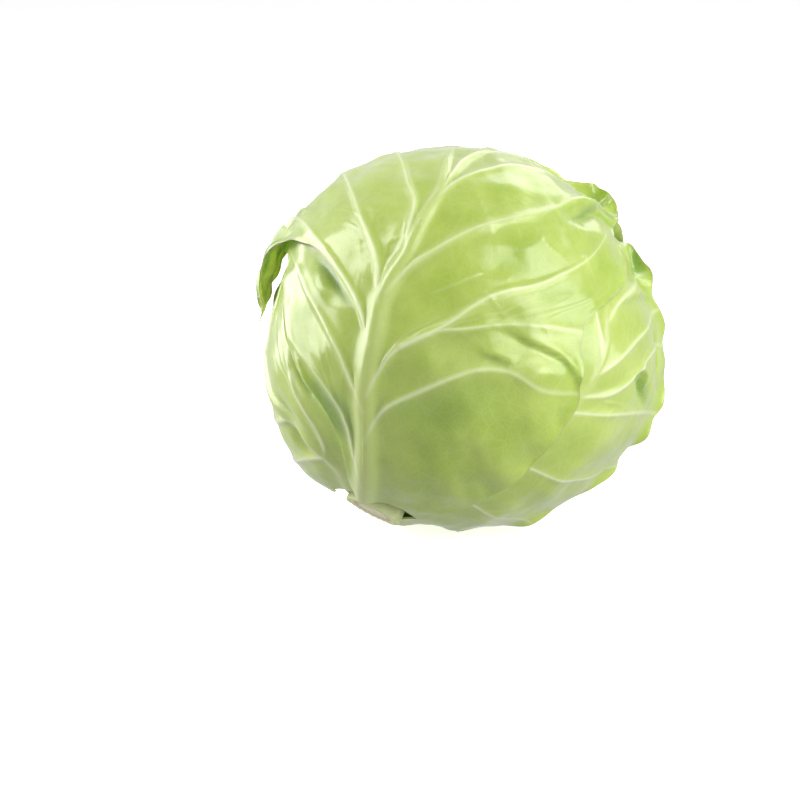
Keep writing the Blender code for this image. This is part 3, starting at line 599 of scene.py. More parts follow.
def crease_relief(leaf, side, spots):
    """Steps along drawn lines and single hills and hollows, mm, and a mask of painted shade where they lie
    low.

    A crease is height * exp(-(gap / spread)**2) * (tanh(gap / edge) + proud), with the gap counted
    positive on the line's left and negative on its right, and it fades at both ends of the line.
    A dent is height * exp(-((u / along)**2 + (v / across)**2)).
    """
    relief = np.zeros(spots.shape[:-1])
    hollow = np.zeros(spots.shape[:-1])
    for points, height, spread in leaf.creases:
        line = smooth_line(points, CREASE_POINTS)
        gap, place = line_distance(spots, line)
        cell = np.clip((place * (len(line) - 1)).astype(int), 0, len(line) - 2)
        step = (line[1:] - line[:-1])[cell]
        offset = spots - line[cell]
        left = step[..., 0] * offset[..., 1] - step[..., 1] * offset[..., 0] > 0.0
        signed = np.where(left, gap, -gap)
        ends = np.sin(np.pi * np.clip(place, 0.0, 1.0)) ** 0.7
        decay = np.exp(-((gap / spread) ** 2))
        relief = relief + height * ends * decay * (np.tanh(signed / CREASE_EDGE) + CREASE_PROUD)
        # Painted shade down the crease's low side and a little up its high side.
        shade = np.exp(-((gap / np.where(signed * height < 0.0, LOW_SHADE, HIGH_SHADE)) ** 2))
        hollow = np.maximum(hollow, CREASE_SHADE * ends * shade)
    for where, (x, y), height, along, across, degrees, darker in leaf.dents:
        if where not in ("", side):
            continue
        turn = math.radians(degrees)
        offset = spots - np.array((x, y))
        u = offset[..., 0] * math.cos(turn) + offset[..., 1] * math.sin(turn)
        v = offset[..., 1] * math.cos(turn) - offset[..., 0] * math.sin(turn)
        away = (u / along) ** 2 + (v / across) ** 2
        relief = relief + height * np.exp(-away)
        # Painted shade in the dent, whole in its middle and fading at its rim.
        hollow = np.maximum(hollow, darker * (1.0 - smoothstep(np.sqrt(away), *DENT_SHADE)))
    return relief, hollow


def cover_depth(leaves, direction):
    """How far the leaves on top press a surface down, mm: one leaf pitch for each leaf over it."""
    depth = np.zeros(direction.shape[:-1])
    for leaf in leaves:
        spots = direction_to_map(leaf.frame, direction)
        closed = np.concatenate((leaf.outline, leaf.outline[:1]))
        gap, _ = line_distance(spots, closed)
        gap = np.where(inside(spots, leaf.outline), 0.0, gap)
        depth = depth + LEAF_PITCH * (1.0 - smoothstep(gap, *COVER_EDGE))
    return depth


def on_head(direction, lift, depth):
    """Points at the head's radius, less depth, plus lift, held above the table's flat spot."""
    radius = head_radius(direction) + (lift - depth) * MM
    floor = (REST_DEPTH - depth * MM) / np.maximum(-direction[..., 2], 1e-6)
    return direction * np.minimum(radius, floor)[..., None]


def peel(points, normals, bend):
    """Swing each row out of the head by the bend angle, keeping the distance between its points."""
    tangent = np.gradient(points, axis=1)
    tangent = tangent - (tangent * normals).sum(axis=-1, keepdims=True) * normals
    tangent = unit(tangent)
    turned = (np.cos(bend) - 1.0)[..., None] * tangent + np.sin(bend)[..., None] * normals
    step = np.linalg.norm(np.diff(points, axis=1), axis=2)[..., None]
    moved = np.cumsum(0.5 * (turned[:, 1:] + turned[:, :-1]) * step, axis=1)
    points = points.copy()
    points[:, 1:] += moved
    return points, np.cos(bend)[..., None] * normals - np.sin(bend)[..., None] * tangent


def bend_angle(leaf, side, number, inward):
    """How far the margin bends out: bells across the rows, and waves that come and go along them."""
    bend = np.zeros(inward.shape)
    for where, middle, spread, reach, degrees in leaf.curls:
        if where == side:
            bell = np.exp(-(((number - middle) / spread) ** 2))[:, None]
            bend = bend + math.radians(degrees) * bell * np.clip(1.0 - inward / reach, 0.0, 1.0)
    for where, first, last, period, reach, degrees in leaf.waves:
        if where == side:
            wave = 0.5 - 0.5 * np.cos(2.0 * np.pi * (number - first) / period)
            wave = (wave * (number > first) * (number < last))[:, None]
            bend = bend + math.radians(degrees) * wave * np.clip(1.0 - inward / reach, 0.0, 1.0)
    return bend


def tear_edge(leaf, spots):
    """Distance to the torn edge's line, mm, and how far along that line the nearest point lies, mm."""
    edge = leaf.sides["left high"][1][0][::3]
    length = np.linalg.norm(np.diff(edge, axis=0), axis=1).sum()
    gap, place = line_distance(spots, edge)
    return gap, place * length


def pleat_waves(leaf, side, number, distance, inward):
    """Each pleat of a side: its height, mm, and a wave between -1 and 1 on the grid.

    Wave = sin(turns by row number) * sin(pi * share of the pleat's rows) * cos(a slow turn along the
    row) * a ramp that starts at the pleat's distance from the midrib and ends at the margin.
    """
    waves = []
    for where, first, last, period, height, start in leaf.pleats:
        if where == side:
            across = np.clip((number - first) / (last - first), 0.0, 1.0)
            turns = np.sin(2.0 * np.pi * number / period + PLEAT_PHASE)[:, None]
            wave = turns * np.sin(np.pi * across)[:, None]
            ramp = smoothstep(distance, start, start + PLEAT_RAMP) * smoothstep(inward, *PLEAT_END)
            slow = np.cos(PLEAT_TURN * distance + PLEAT_SLANT * number[:, None])
            waves.append((height, wave * slow * ramp))
    return waves


# The masks that a leaf's points carry, in the order that leaf_side gives them.
MASKS = ("midrib", "rib", "halo_and_painted_light", "twig", "edge", "hollow")


def leaf_side(leaf, side, places, columns, tear_column, sizes):
    """One half leaf on a grid of rows and columns: outer points, the way out of the blade, the
    blade's thickness, the map spots and the masks.

    Outer point = direction * (head radius + ribs + relief - cover), then swung out by the bend.
    """
    rows, number = leaf.rows_at(side, places)
    steps = np.linalg.norm(np.diff(rows, axis=1), axis=2)
    along_margin = np.stack((number * NOTCH_PACE, np.zeros_like(number)), axis=-1)
    notch = 0.5 + 0.5 * soft_waves(along_margin, *NOTCH_WAVES)
    total = steps.sum(axis=1) - sizes.notch / MM * notch
    distance = column_distances(total[:, None], columns, tear_column)
    inward = total[:, None] - distance
    spots = sample_rows(rows, distance)
    direction = map_to_direction(leaf.frame, spots)
    depth = cover_depth(leaf.above, direction)
    covered = np.clip(depth / LEAF_PITCH, 0.0, 1.0)
    relief, midrib, rib, halo_and_painted_light, twig = rib_relief(leaf, spots)
    ribs = relief * (1.0 - RIB_SINK * covered)
    swell = soft_waves(spots, *SWELL_WAVES) + FINE_SWELL * soft_waves(spots, *FINE_SWELL_WAVES)
    creases, hollow = crease_relief(leaf, side, spots)
    lift = creases + sizes.swell / MM * swell * (1.0 - halo_and_painted_light) * (1.0 - covered)
    edge = inward
    if side in ("left high", "left low"):
        gap, along = tear_edge(leaf, spots)
        edge = np.minimum(edge, np.where(along > TEAR_START, gap, edge))
        if side == "left high":
            grown = smoothstep(along, TEAR_START - TEAR_EASE, TEAR_START + TEAR_CLIMB)
            lift = lift + TEAR_LIFT * grown * np.exp(-((gap / TEAR_SPREAD) ** 2))
    points = on_head(direction, ribs + TWIG_RISE * twig + lift, depth)
    bend = bend_angle(leaf, side, number, inward)
    lip = math.radians(sizes.lip_turn) * np.clip(1.0 - inward / LIP_WIDTH, 0.0, 1.0)
    lip = lip * (LIP_LEVEL + LIP_CHANGE * soft_waves(spots, *LIP_WAVES))
    bend = (bend + lip) * (1.0 - smoothstep(covered[:, -1:], *COVER_HOLD))
    points, outward = peel(points, direction, bend)
    for height, wave in pleat_waves(leaf, side, number, distance, inward):
        points = points + outward * (height * MM * wave)[..., None]
        # Painted light on the pleats' bottoms goes into the halo mask, and painted shade on their tops into
        # the hollow mask.
        halo_and_painted_light = np.maximum(halo_and_painted_light, np.clip(-PLEAT_LIGHT * wave, 0.0, 1.0))
        hollow = np.maximum(hollow, np.clip(PLEAT_SHADE * wave, 0.0, PLEAT_DARKEST))
    thin = sizes.margin + (sizes.blade - sizes.margin) * smoothstep(edge, 0.0, MARGIN_TAPER)
    thickness = thin + ribs * MM
    masks = np.stack((midrib, rib, halo_and_painted_light, twig, np.clip(edge, 0.0, EDGE_REACH), hollow), axis=-1)
    return points, outward, thickness, spots, masks


def grid_triangles(index, points):
    """Split each cell of a grid of point numbers in two, along its shorter diagonal."""
    a, b = index[:-1, :-1].ravel(), index[:-1, 1:].ravel()
    c, d = index[1:, 1:].ravel(), index[1:, :-1].ravel()
    excess = np.linalg.norm(points[a] - points[c], axis=1) - np.linalg.norm(points[b] - points[d], axis=1)
    across = (excess > 0.0)[:, None]
    first = np.where(across, np.stack((a, b, d), axis=1), np.stack((a, b, c), axis=1))
    second = np.where(across, np.stack((b, c, d), axis=1), np.stack((a, c, d), axis=1))
    cells = np.concatenate((first, second))
    keep = (cells[:, 0] != cells[:, 1]) & (cells[:, 1] != cells[:, 2]) & (cells[:, 2] != cells[:, 0])
    return cells[keep]


def leaf_sheet(leaf, columns, tear_column, sizes):
    """A leaf as one sheet. The halves share the midrib and the tip line. A torn left half is two
    grids, which share their common row from the midrib to the tear's inner end."""
    places = row_places(leaf)
    grids = {"right": (0, leaf_side(leaf, "right", places, columns, 0, sizes))}
    if "left" in leaf.sides:
        grids["left"] = (0, leaf_side(leaf, "left", places, columns, 0, sizes))
    else:
        split = int(np.argmin(np.abs(places - leaf.sides["left low"][0][-1])))
        low, high = places[: split + 1], places[split:]
        grids["left low"] = (0, leaf_side(leaf, "left low", low, columns, tear_column, sizes))
        grids["left high"] = (split, leaf_side(leaf, "left high", high, columns, tear_column, sizes))
    shared = np.arange(len(places) * columns).reshape(len(places), columns)
    count = shared.size
    values = [[array.reshape(count, -1)] for array in grids["right"][1]]
    left_indices = []
    below = None
    for side, (first, arrays) in grids.items():
        if side == "right":
            continue
        index = shared[first : first + len(arrays[0])].copy()
        fresh = np.ones(index.shape, bool)
        fresh[:, 0] = False
        if side != "left low":
            fresh[-1, :] = False
        if side == "left high":
            index[0, : tear_column + 1] = below[-1, : tear_column + 1]
            fresh[0, : tear_column + 1] = False
        index[fresh] = count + np.arange(fresh.sum())
        count += int(fresh.sum())
        for kept, array in zip(values, arrays):
            kept.append(array[fresh].reshape(int(fresh.sum()), -1))
        left_indices.append(index)
        below = index
    points, outward, thickness, spots, masks = [np.concatenate(kept) for kept in values]
    triangles = [grid_triangles(shared, points)]
    triangles += [grid_triangles(index, points)[:, ::-1] for index in left_indices]
    return points, outward, thickness, spots, masks, np.concatenate(triangles)


def closed_shell(points, outward, thickness, triangles):
    """Close an outward-facing sheet with a copy pushed in by the thickness and a wall round the rim.

    The wall has two triangles on each rim edge, which is an edge that only one triangle uses.
    """
    count = len(points)
    inner = points - outward * thickness
    edges = np.concatenate([triangles[:, (a, b)] for a, b in ((0, 1), (1, 2), (2, 0))])
    forward = edges[:, 0] * count + edges[:, 1]
    backward = edges[:, 1] * count + edges[:, 0]
    rim = edges[~np.isin(forward, backward)]
    a, b = rim[:, 0], rim[:, 1]
    sides = np.concatenate((np.stack((b, a, a + count), axis=1), np.stack((b, a + count, b + count), axis=1)))
    return np.concatenate((points, inner)), np.concatenate((triangles, triangles[:, ::-1] + count, sides))


def front_leaf():
    """The outermost leaf: its thick midrib faces front, and its upper left corner hangs free."""
    midrib = ((-56, -92), (-49, -65), (-46, -42), (-44, -20), (-40, -1), (-37, 15), (-32, 27),
              (-25, 40), (-18, 58), (-11, 74), (-8, 100), (-5, 120))
    right = (
        (((-56, -92), (-44, -95), (-28, -101), (-8, -98), (15, -84), (34, -66)), False),
        (((-47, -50), (-36, -33), (-19, -24), (-3, -17), (8, -14), (21, -15), (37, -24), (57, -27)), True),
        (((-43, -26), (-38, -16), (-31, -7), (-24, -2), (-11, 3), (1, 4), (20, 6), (39, 5), (57, 3)), True),
        (((-41, -12), (-27, 2), (-12, 8), (2, 10), (20, 13), (40, 16), (60, 21), (78, 27),
          (90, 34)), False),
        (((-39, 4), (-28, 9), (-14, 12), (-2, 14), (8, 18), (21, 22), (34, 24), (55, 34), (66, 42),
          (79, 56), (93, 64)), False),
        (((-34, 20), (-24, 32), (-12, 40), (1, 48), (14, 54), (28, 59), (44, 65), (64, 76), (84, 81),
          (104, 80)), True),
        (((-20, 52), (-10, 72), (1, 83), (17, 93), (34, 101), (53, 101), (70, 96), (88, 96),
          (108, 98)), True),
        (((-11, 72), (-5, 86), (1, 101), (14, 115), (34, 122), (60, 122), (88, 118)), True),
    )
    left_low = (
        (((-56, -92), (-62, -84), (-62, -70), (-63, -55), (-68, -40), (-77, -27), (-86, -14)), False),
        (((-52, -78), (-54, -64), (-55, -55), (-57, -43), (-60, -35), (-65, -26), (-72, -17),
          (-81, -8), (-88, 1), (-94, 10), (-99, 21)), True),
        (((-45, -34), (-50, -23), (-57, -7), (-63, 3), (-74, 19), (-89, 38), (-106, 54)), True),
        (((-42, -8), (-44, 3), (-50, 14), (-57, 24), (-61, 35), (-69, 46), (-81, 57), (-92, 65)), False),
    )
    left_high = (
        (((-42, -8), (-44, 3), (-50, 14), (-57, 24), (-63, 35), (-73, 45), (-86, 51), (-97, 55),
          (-108, 55), (-118, 48), (-125, 38), (-130, 24), (-132, 6)), False),
        (((-41, -3), (-44, 7), (-47, 15), (-53, 25), (-62, 37), (-73, 50), (-92, 67), (-106, 74),
          (-118, 71), (-128, 60), (-135, 44), (-138, 22)), True),
        (((-40, 4), (-44, 24), (-52, 42), (-66, 60), (-88, 80), (-108, 88), (-123, 84), (-135, 72),
          (-142, 54)), False),
        (((-39, 10), (-44, 34), (-54, 54), (-72, 78), (-94, 98), (-118, 106), (-132, 100),
          (-140, 92)), False),
        (((-37, 16), (-39, 35), (-43, 46), (-50, 60), (-59, 78), (-74, 102), (-92, 122), (-108, 134)), True),
        (((-26, 38), (-24, 56), (-23, 67), (-28, 80), (-34, 100), (-44, 124), (-56, 146)), True),
    )
    tip = ((-5, 120), (-3, 136), (0, 152))
    curls = (
        ("right", 6.1, 0.9, 14.0, 150.0),
        ("right", 3.6, 1.2, 9.0, 14.0),
        ("left high", 0.0, 1.1, 76.0, 66.0),
        ("left high", 0.0, 1.1, 56.0, -88.0),
        ("left high", 0.0, 1.1, 32.0, 12.0),
    )
    branches = (
        ((-27, -4), (-18, 0), (-5, 7), (5, 14), (12, 18), (21, 21), (34, 24), (55, 34), (66, 42),
         (76, 53), (82, 61)),
    )
    creases = (
        (((50, 66), (70, 74), (90, 74), (104, 70)), 2.2, 11.0),
    )
    return Leaf(
        "front_leaf", facing_frame(14.0), midrib,
        {"right": right, "left low": left_low, "left high": left_high}, tip,
        {"midrib": (10.5, 3.6), "vein": (2.8, 1.7)}, curls, (), branches, creases,
    )


def left_leaf():
    """The leaf under the front leaf's left margin: two ribs sweep up from its base to the left."""
    midrib = ((12, -120), (26, -107), (27, -95), (20, -82), (11, -71), (2, -61), (-5, -51), (-9, -40),
              (-10, -26), (-9, -5), (-5, 25), (0, 58))
    right = (
        (((12, -120), (22, -122), (36, -116), (50, -106)), False),
        (((24, -112), (37, -104), (47, -92), (54, -76), (60, -56)), False),
        (((27, -98), (34, -91), (36, -82), (34, -72), (31, -62), (30, -50), (31, -38), (34, -24),
          (40, -10), (50, -2)), True),
        (((-9, -49), (0, -32), (8, -14), (20, 8), (36, 26)), True),
        (((-11, -18), (-4, 2), (5, 24), (18, 46), (28, 60)), True),
    )
    left = (
        (((12, -120), (0, -114), (-18, -114), (-42, -104)), False),
        (((26, -98), (8, -95), (-14, -92), (-38, -86), (-62, -72)), True),
        (((12, -76), (-10, -72), (-32, -63), (-58, -46), (-82, -26)), True),
        (((-8, -52), (-24, -42), (-46, -24), (-68, -4), (-88, 18)), True),
        (((-12, -22), (-26, -6), (-44, 16), (-62, 38), (-76, 60)), True),
        (((-8, 14), (-16, 32), (-30, 54), (-42, 78)), True),
    )
    tip = ((0, 58), (2, 72), (4, 86))
    curls = (
        ("left", 4.4, 0.8, 12.0, 45.0),
    )
    waves = (
        ("left", 1.0, 5.5, 0.8, 13.0, 42.0),
    )
    return Leaf(
        "left_leaf", stem_frame(-62.0, 85.0), midrib, {"right": right, "left": left}, tip,
        {"midrib": (6.5, 2.4), "vein": (2.6, 1.4)}, curls, waves,
    )


def right_leaf():
    """The leaf under the front leaf's right margin: its own upper right margin curls outwards."""
    midrib = ((-2, -116), (-8, -90), (-12, -60), (-9, -35), (-4, -19), (3, -11), (8, -2), (8, 8),
              (4, 25), (0, 40), (-3, 60), (-4, 80))
    left = (
        (((-2, -116), (-12, -117), (-26, -112), (-40, -102)), False),
        (((-9, -84), (-24, -76), (-44, -62), (-60, -44)), True),
        (((-11, -48), (-24, -38), (-42, -22), (-58, 0)), True),
        (((-2, -17), (-12, -4), (-28, 16), (-42, 34)), True),
        (((6, 16), (-4, 30), (-16, 46), (-28, 60)), True),
    )
    right = (
        (((-2, -116), (10, -117), (28, -114), (50, -106)), False),
        (((-9, -84), (8, -82), (34, -78), (64, -68)), True),
        (((-11, -50), (6, -47), (32, -41), (58, -30), (80, -16)), True),
        (((-4, -19), (14, -10), (34, 0), (58, 10), (78, 16)), True),
        (((8, -4), (19, 3), (27, 12), (34, 23), (42, 34), (53, 43), (66, 48)), True),
        (((8, 8), (13, 16), (18, 25), (26, 36), (36, 48), (46, 58), (54, 64)), True),
        (((2, 32), (8, 46), (18, 58), (30, 70), (44, 82)), True),
        (((-2, 54), (4, 68), (14, 82), (28, 94)), True),
    )
    tip = ((-4, 80), (-4, 92), (-3, 104))
    curls = (
        ("right", 6.3, 0.7, 12.0, 125.0),
        ("right", 4.7, 0.6, 14.0, 36.0),
        ("right", 3.2, 0.5, 14.0, 36.0),
    )
    waves = (
        ("right", 0.6, 3.0, 0.8, 12.0, 34.0),
    )
    return Leaf(
        "right_leaf", stem_frame(62.0, 85.0), midrib, {"right": right, "left": left}, tip,
        {"midrib": (5.0, 2.2), "vein": (2.4, 1.4)}, curls, waves,
    )


def back_leaf():
    """The leaf that covers the back of the head and lies on the table near its base."""
    midrib = ((0, -116), (-3, -90), (-4, -60), (-2, -30), (1, 0), (4, 30), (5, 62), (2, 96))
    right = (
        (((0, -116), (14, -117), (36, -112), (62, -98)), False),
        (((-3, -88), (18, -84), (50, -74), (86, -56)), True),
        (((-4, -55), (22, -44), (58, -26), (102, -4)), True),
        (((0, -18), (26, -2), (60, 22), (102, 48)), True),
        (((4, 18), (24, 38), (52, 64), (84, 90)), True),
        (((5, 54), (16, 74), (36, 98), (54, 118)), True),
    )
    left = (
        (((0, -116), (-14, -117), (-36, -112), (-60, -100)), False),
        (((-3, -84), (-22, -80), (-54, -70), (-88, -56)), True),
        (((-4, -48), (-26, -38), (-62, -22), (-108, -4)), True),
        (((0, -10), (-22, 6), (-58, 28), (-108, 50)), True),
        (((4, 26), (-16, 46), (-48, 72), (-88, 94)), True),
        (((4, 62), (-8, 82), (-26, 104), (-42, 120)), True),
    )
    tip = ((2, 96), (2, 116), (4, 136))
    curls = (
        ("right", 3.9, 0.8, 20.0, 75.0),
    )
    waves = (
        ("right", 3.0, 5.6, 0.9, 13.0, 45.0),
        ("left", 3.6, 5.6, 0.9, 13.0, 45.0),
    )
    return Leaf(
        "back_leaf", stem_frame(172.0, 85.0), midrib, {"right": right, "left": left}, tip,
        {"midrib": (7.5, 2.8), "vein": (2.8, 1.5)}, curls, waves,
    )


def wrapper_leaves():
    """The four wrapper leaves by node name, each knowing the leaves that lie over it."""
    front, left, right, back = front_leaf(), left_leaf(), right_leaf(), back_leaf()
    for leaf in (front, left, right, back):
        leaf.creases = leaf.creases + FINE_CREASES.get(leaf.name, ())
        leaf.dents = FINE_DENTS.get(leaf.name, ())
        leaf.pleats = FINE_PLEATS.get(leaf.name, ())
        threads = FINE_THREADS.get(leaf.name, ())
        leaf.threads = [smooth_line(points, leaf.THREAD_POINTS) for points in threads]
    left.above = (front,)
    right.above = (left, front)
    back.above = (right, left, front)
    return {leaf.name: leaf for leaf in (front, left, right, back)}


def heart_body(leaves, rings, spokes):
    """The dense heart: rings about the stem's axis, with three leaf margins lapping its crown.

    Lap = (1 - turn from the margin)**6 and vein = |cos(7 * turn + 2 * sin(tilt))|**60, both on the
    crown alone.
    """
    tilt = np.radians(np.linspace(HEART_MOUTH, 180.0, rings + 1)[:-1])
    turn = np.radians(np.arange(spokes) * 360.0 / spokes)
    tilt, turn = np.meshgrid(tilt, turn, indexing="ij")
    meridian = np.cos(turn)[..., None] * FRONT_MERIDIAN + np.sin(turn)[..., None] * SIDE_MERIDIAN
    direction = np.cos(tilt)[..., None] * STEM_AXIS + np.sin(tilt)[..., None] * meridian
    depth = cover_depth(leaves, direction) + HEART_SLACK
    lap = np.zeros(tilt.shape)
    for number in range(HEART_LAPS):
        swirl = np.degrees(turn) - 360.0 / HEART_LAPS * number - 0.9 * (180.0 - np.degrees(tilt))
        ramp = (swirl % 360.0) / 360.0
        lap = np.maximum(lap, (1.0 - ramp) ** 6)
    crown = smoothstep(np.degrees(tilt), *CROWN_RISE) * (1.0 - smoothstep(np.degrees(tilt), *CROWN_FALL))
    vein = np.abs(np.cos(7.0 * turn + 2.0 * np.sin(tilt))) ** 60 * crown
    spots = np.stack((np.degrees(turn), np.degrees(tilt)), axis=-1) * CROWN_DEGREE
    swell = soft_waves(spots, *CROWN_WAVES) * crown
    lift = LAP_RISE * lap * crown - CROWN_DIP * crown + CROWN_VEIN * vein + CROWN_SWELL * swell
    points = on_head(direction, lift, depth)
    reach = (STEM_RADIUS + STEM_GAP) * MM
    floor = STEM_AXIS * (STEM_INNER - STEM_GAP) * MM
    mouth = points[0] @ STEM_AXIS
    socket = (floor + meridian[0] * reach, mouth[:, None] * STEM_AXIS + meridian[0] * reach)
    apex = -STEM_AXIS
    top = on_head(apex[None], np.zeros(1), cover_depth(leaves, apex[None]) + HEART_SLACK + 1.0)[0]
    grid = np.concatenate((np.array(socket), points))
    vein = np.concatenate((np.zeros((2, spokes)), vein))
    return floor, grid, top, vein


def closed_turning(base, grid, top):
    """Points and faces of a closed body made of rings, with a point at each end."""
    rings, spokes = grid.shape[:2]
    index = np.arange(rings * spokes).reshape(rings, spokes)
    index = np.concatenate((index, index[:, :1]), axis=1) + 1
    last = rings * spokes + 1
    points = np.concatenate((base[None], grid.reshape(-1, 3), top[None]))
    faces = [grid_triangles(index, points)]
    faces.append(np.stack((np.zeros(spokes, int), index[0, 1:], index[0, :-1]), axis=1))
    faces.append(np.stack((np.full(spokes, last), index[-1, :-1], index[-1, 1:]), axis=1))
    return points, np.concatenate(faces)


def with_ends(values, first, last):
    """A mask for the points of a closed turning: the rings' values between those of its two ends."""
    return np.concatenate(((first,), values.ravel(), (last,)))


def stem_body(sides, sizes):
    """The cut stem: rings from the middle of the cut face out to its rim and up into the head.

    Radius = profile + ridge * (waves round the stem - 1). The cut face sinks towards its middle,
    height = rim - hollow * (1 - (r / R)**2), and carries the grain of its fibres.
    """
    turn = np.radians(np.arange(sides) * 360.0 / sides)
    ring = np.cos(turn)[:, None] * FRONT_MERIDIAN + np.sin(turn)[:, None] * SIDE_MERIDIAN
    share = np.linspace(0.06, 0.94, 16)
    face = np.stack((share * STEM_RADIUS, STEM_OUTER - sizes.hollow / MM * (1.0 - share**2)), axis=1)
    rim = np.array(((0.965, 0.05), (0.985, 0.3), (1.0, 0.9))) * (STEM_RADIUS, 1.0)
    rim[:, 1] = STEM_OUTER - rim[:, 1]
    height = np.linspace(STEM_OUTER - 1.6, STEM_INNER, 14)
    radius = np.interp(height, (STEM_INNER, STEM_OUTER), (STEM_RADIUS - STEM_TAPER, STEM_RADIUS))
    profile = np.concatenate((face, rim, np.stack((radius, height), axis=1)))
    reach, along = profile[:, :1], profile[:, 1:]
    waves = 0.6 * np.cos(5.0 * turn + 0.7) + 0.4 * np.cos(9.0 * turn + 2.0 + 0.2 * along)
    reach = reach + sizes.ridge / MM * (waves - 1.0) * smoothstep(reach / STEM_RADIUS, 0.3, 1.0)
    grain = STEM_GRAIN * np.cos(23.0 * turn + 3.0 * np.sin(0.5 * reach)) * (reach < 0.95 * STEM_RADIUS)
    grid = (along + grain)[..., None] * STEM_AXIS + reach[..., None] * ring
    base = STEM_AXIS * (STEM_OUTER - sizes.hollow / MM) * MM
    top = STEM_AXIS * STEM_INNER * MM
    share = np.broadcast_to(profile[:, :1] / STEM_RADIUS, reach.shape)
    flank = smoothstep(np.arange(len(profile)), len(face), len(face) + 2)[:, None]
    return base, grid * MM, top, share, np.broadcast_to(flank, reach.shape)


def head_centre():
    """The head's centre: the stem's box middle, moved back along the stem axis; its height is known."""
    low, high = (np.array(corner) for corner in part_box("stem"))
    middle = 0.5 * (low + high) - STEM_AXIS * 0.5 * (STEM_INNER + STEM_OUTER) * MM
    return np.array((middle[0], middle[1], REST_DEPTH))


def linear(colour):
    """sRGB hex to linear: c / 12.92 up to 0.04045, else ((c + 0.055) / 1.055)**2.4."""
    channels = np.array([int(colour[start : start + 2], 16) for start in (1, 3, 5)]) / 255.0
    bright = ((channels + 0.055) / 1.055) ** 2.4
    return tuple(float(value) for value in np.where(channels <= 0.04045, channels / 12.92, bright))


def add_node(tree, kind, settings, sockets):
    """Add a node of a kind, with its own settings, and link or set its sockets by name or number."""
    node = tree.nodes.new(kind)
    for name, value in settings.items():
        setattr(node, name, value)
    for key, value in sockets.items():
        if isinstance(value, bpy.types.NodeSocket):
            tree.links.new(value, node.inputs[key])
        else:
            node.inputs[key].default_value = value
    return node


def add_mesh(name, points, faces, masks, spots=None):
    """A closed mesh at the origin from whole arrays: points, triangles, named masks and map spots."""
    mesh = bpy.data.meshes.new(name)
    mesh.vertices.add(len(points))
    mesh.vertices.foreach_set("co", np.ascontiguousarray(points, dtype=np.float32).ravel())
    mesh.loops.add(3 * len(faces))
    mesh.loops.foreach_set("vertex_index", np.ascontiguousarray(faces, dtype=np.int32).ravel())
    mesh.polygons.add(len(faces))
    mesh.polygons.foreach_set("loop_start", np.arange(0, 3 * len(faces), 3, dtype=np.int32))
    for mask, values in masks.items():
        layer = mesh.attributes.new(mask, "FLOAT", "POINT")
        layer.data.foreach_set("value", np.ascontiguousarray(values, dtype=np.float32))
    if spots is not None:
        layer = mesh.uv_layers.new(name="leaf_map")
        corners = spots[faces.ravel()] / LEAF_MAP_SPAN
        layer.data.foreach_set("uv", np.ascontiguousarray(corners, dtype=np.float32).ravel())
    mesh.update(calc_edges=True)
    mesh.validate()
    mesh.shade_smooth()
    mesh.set_sharp_from_angle(angle=math.radians(SHARP_ANGLE))
    thing = bpy.data.objects.new(name, mesh)
    bpy.context.scene.collection.objects.link(thing)
    return thing


def stand_for(piece, node):
    """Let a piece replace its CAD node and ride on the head."""
    if node not in frame["nodes"]:
        raise RuntimeError(f"the packed model has no node called {node}")
    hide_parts(node)
    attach(piece, "root")


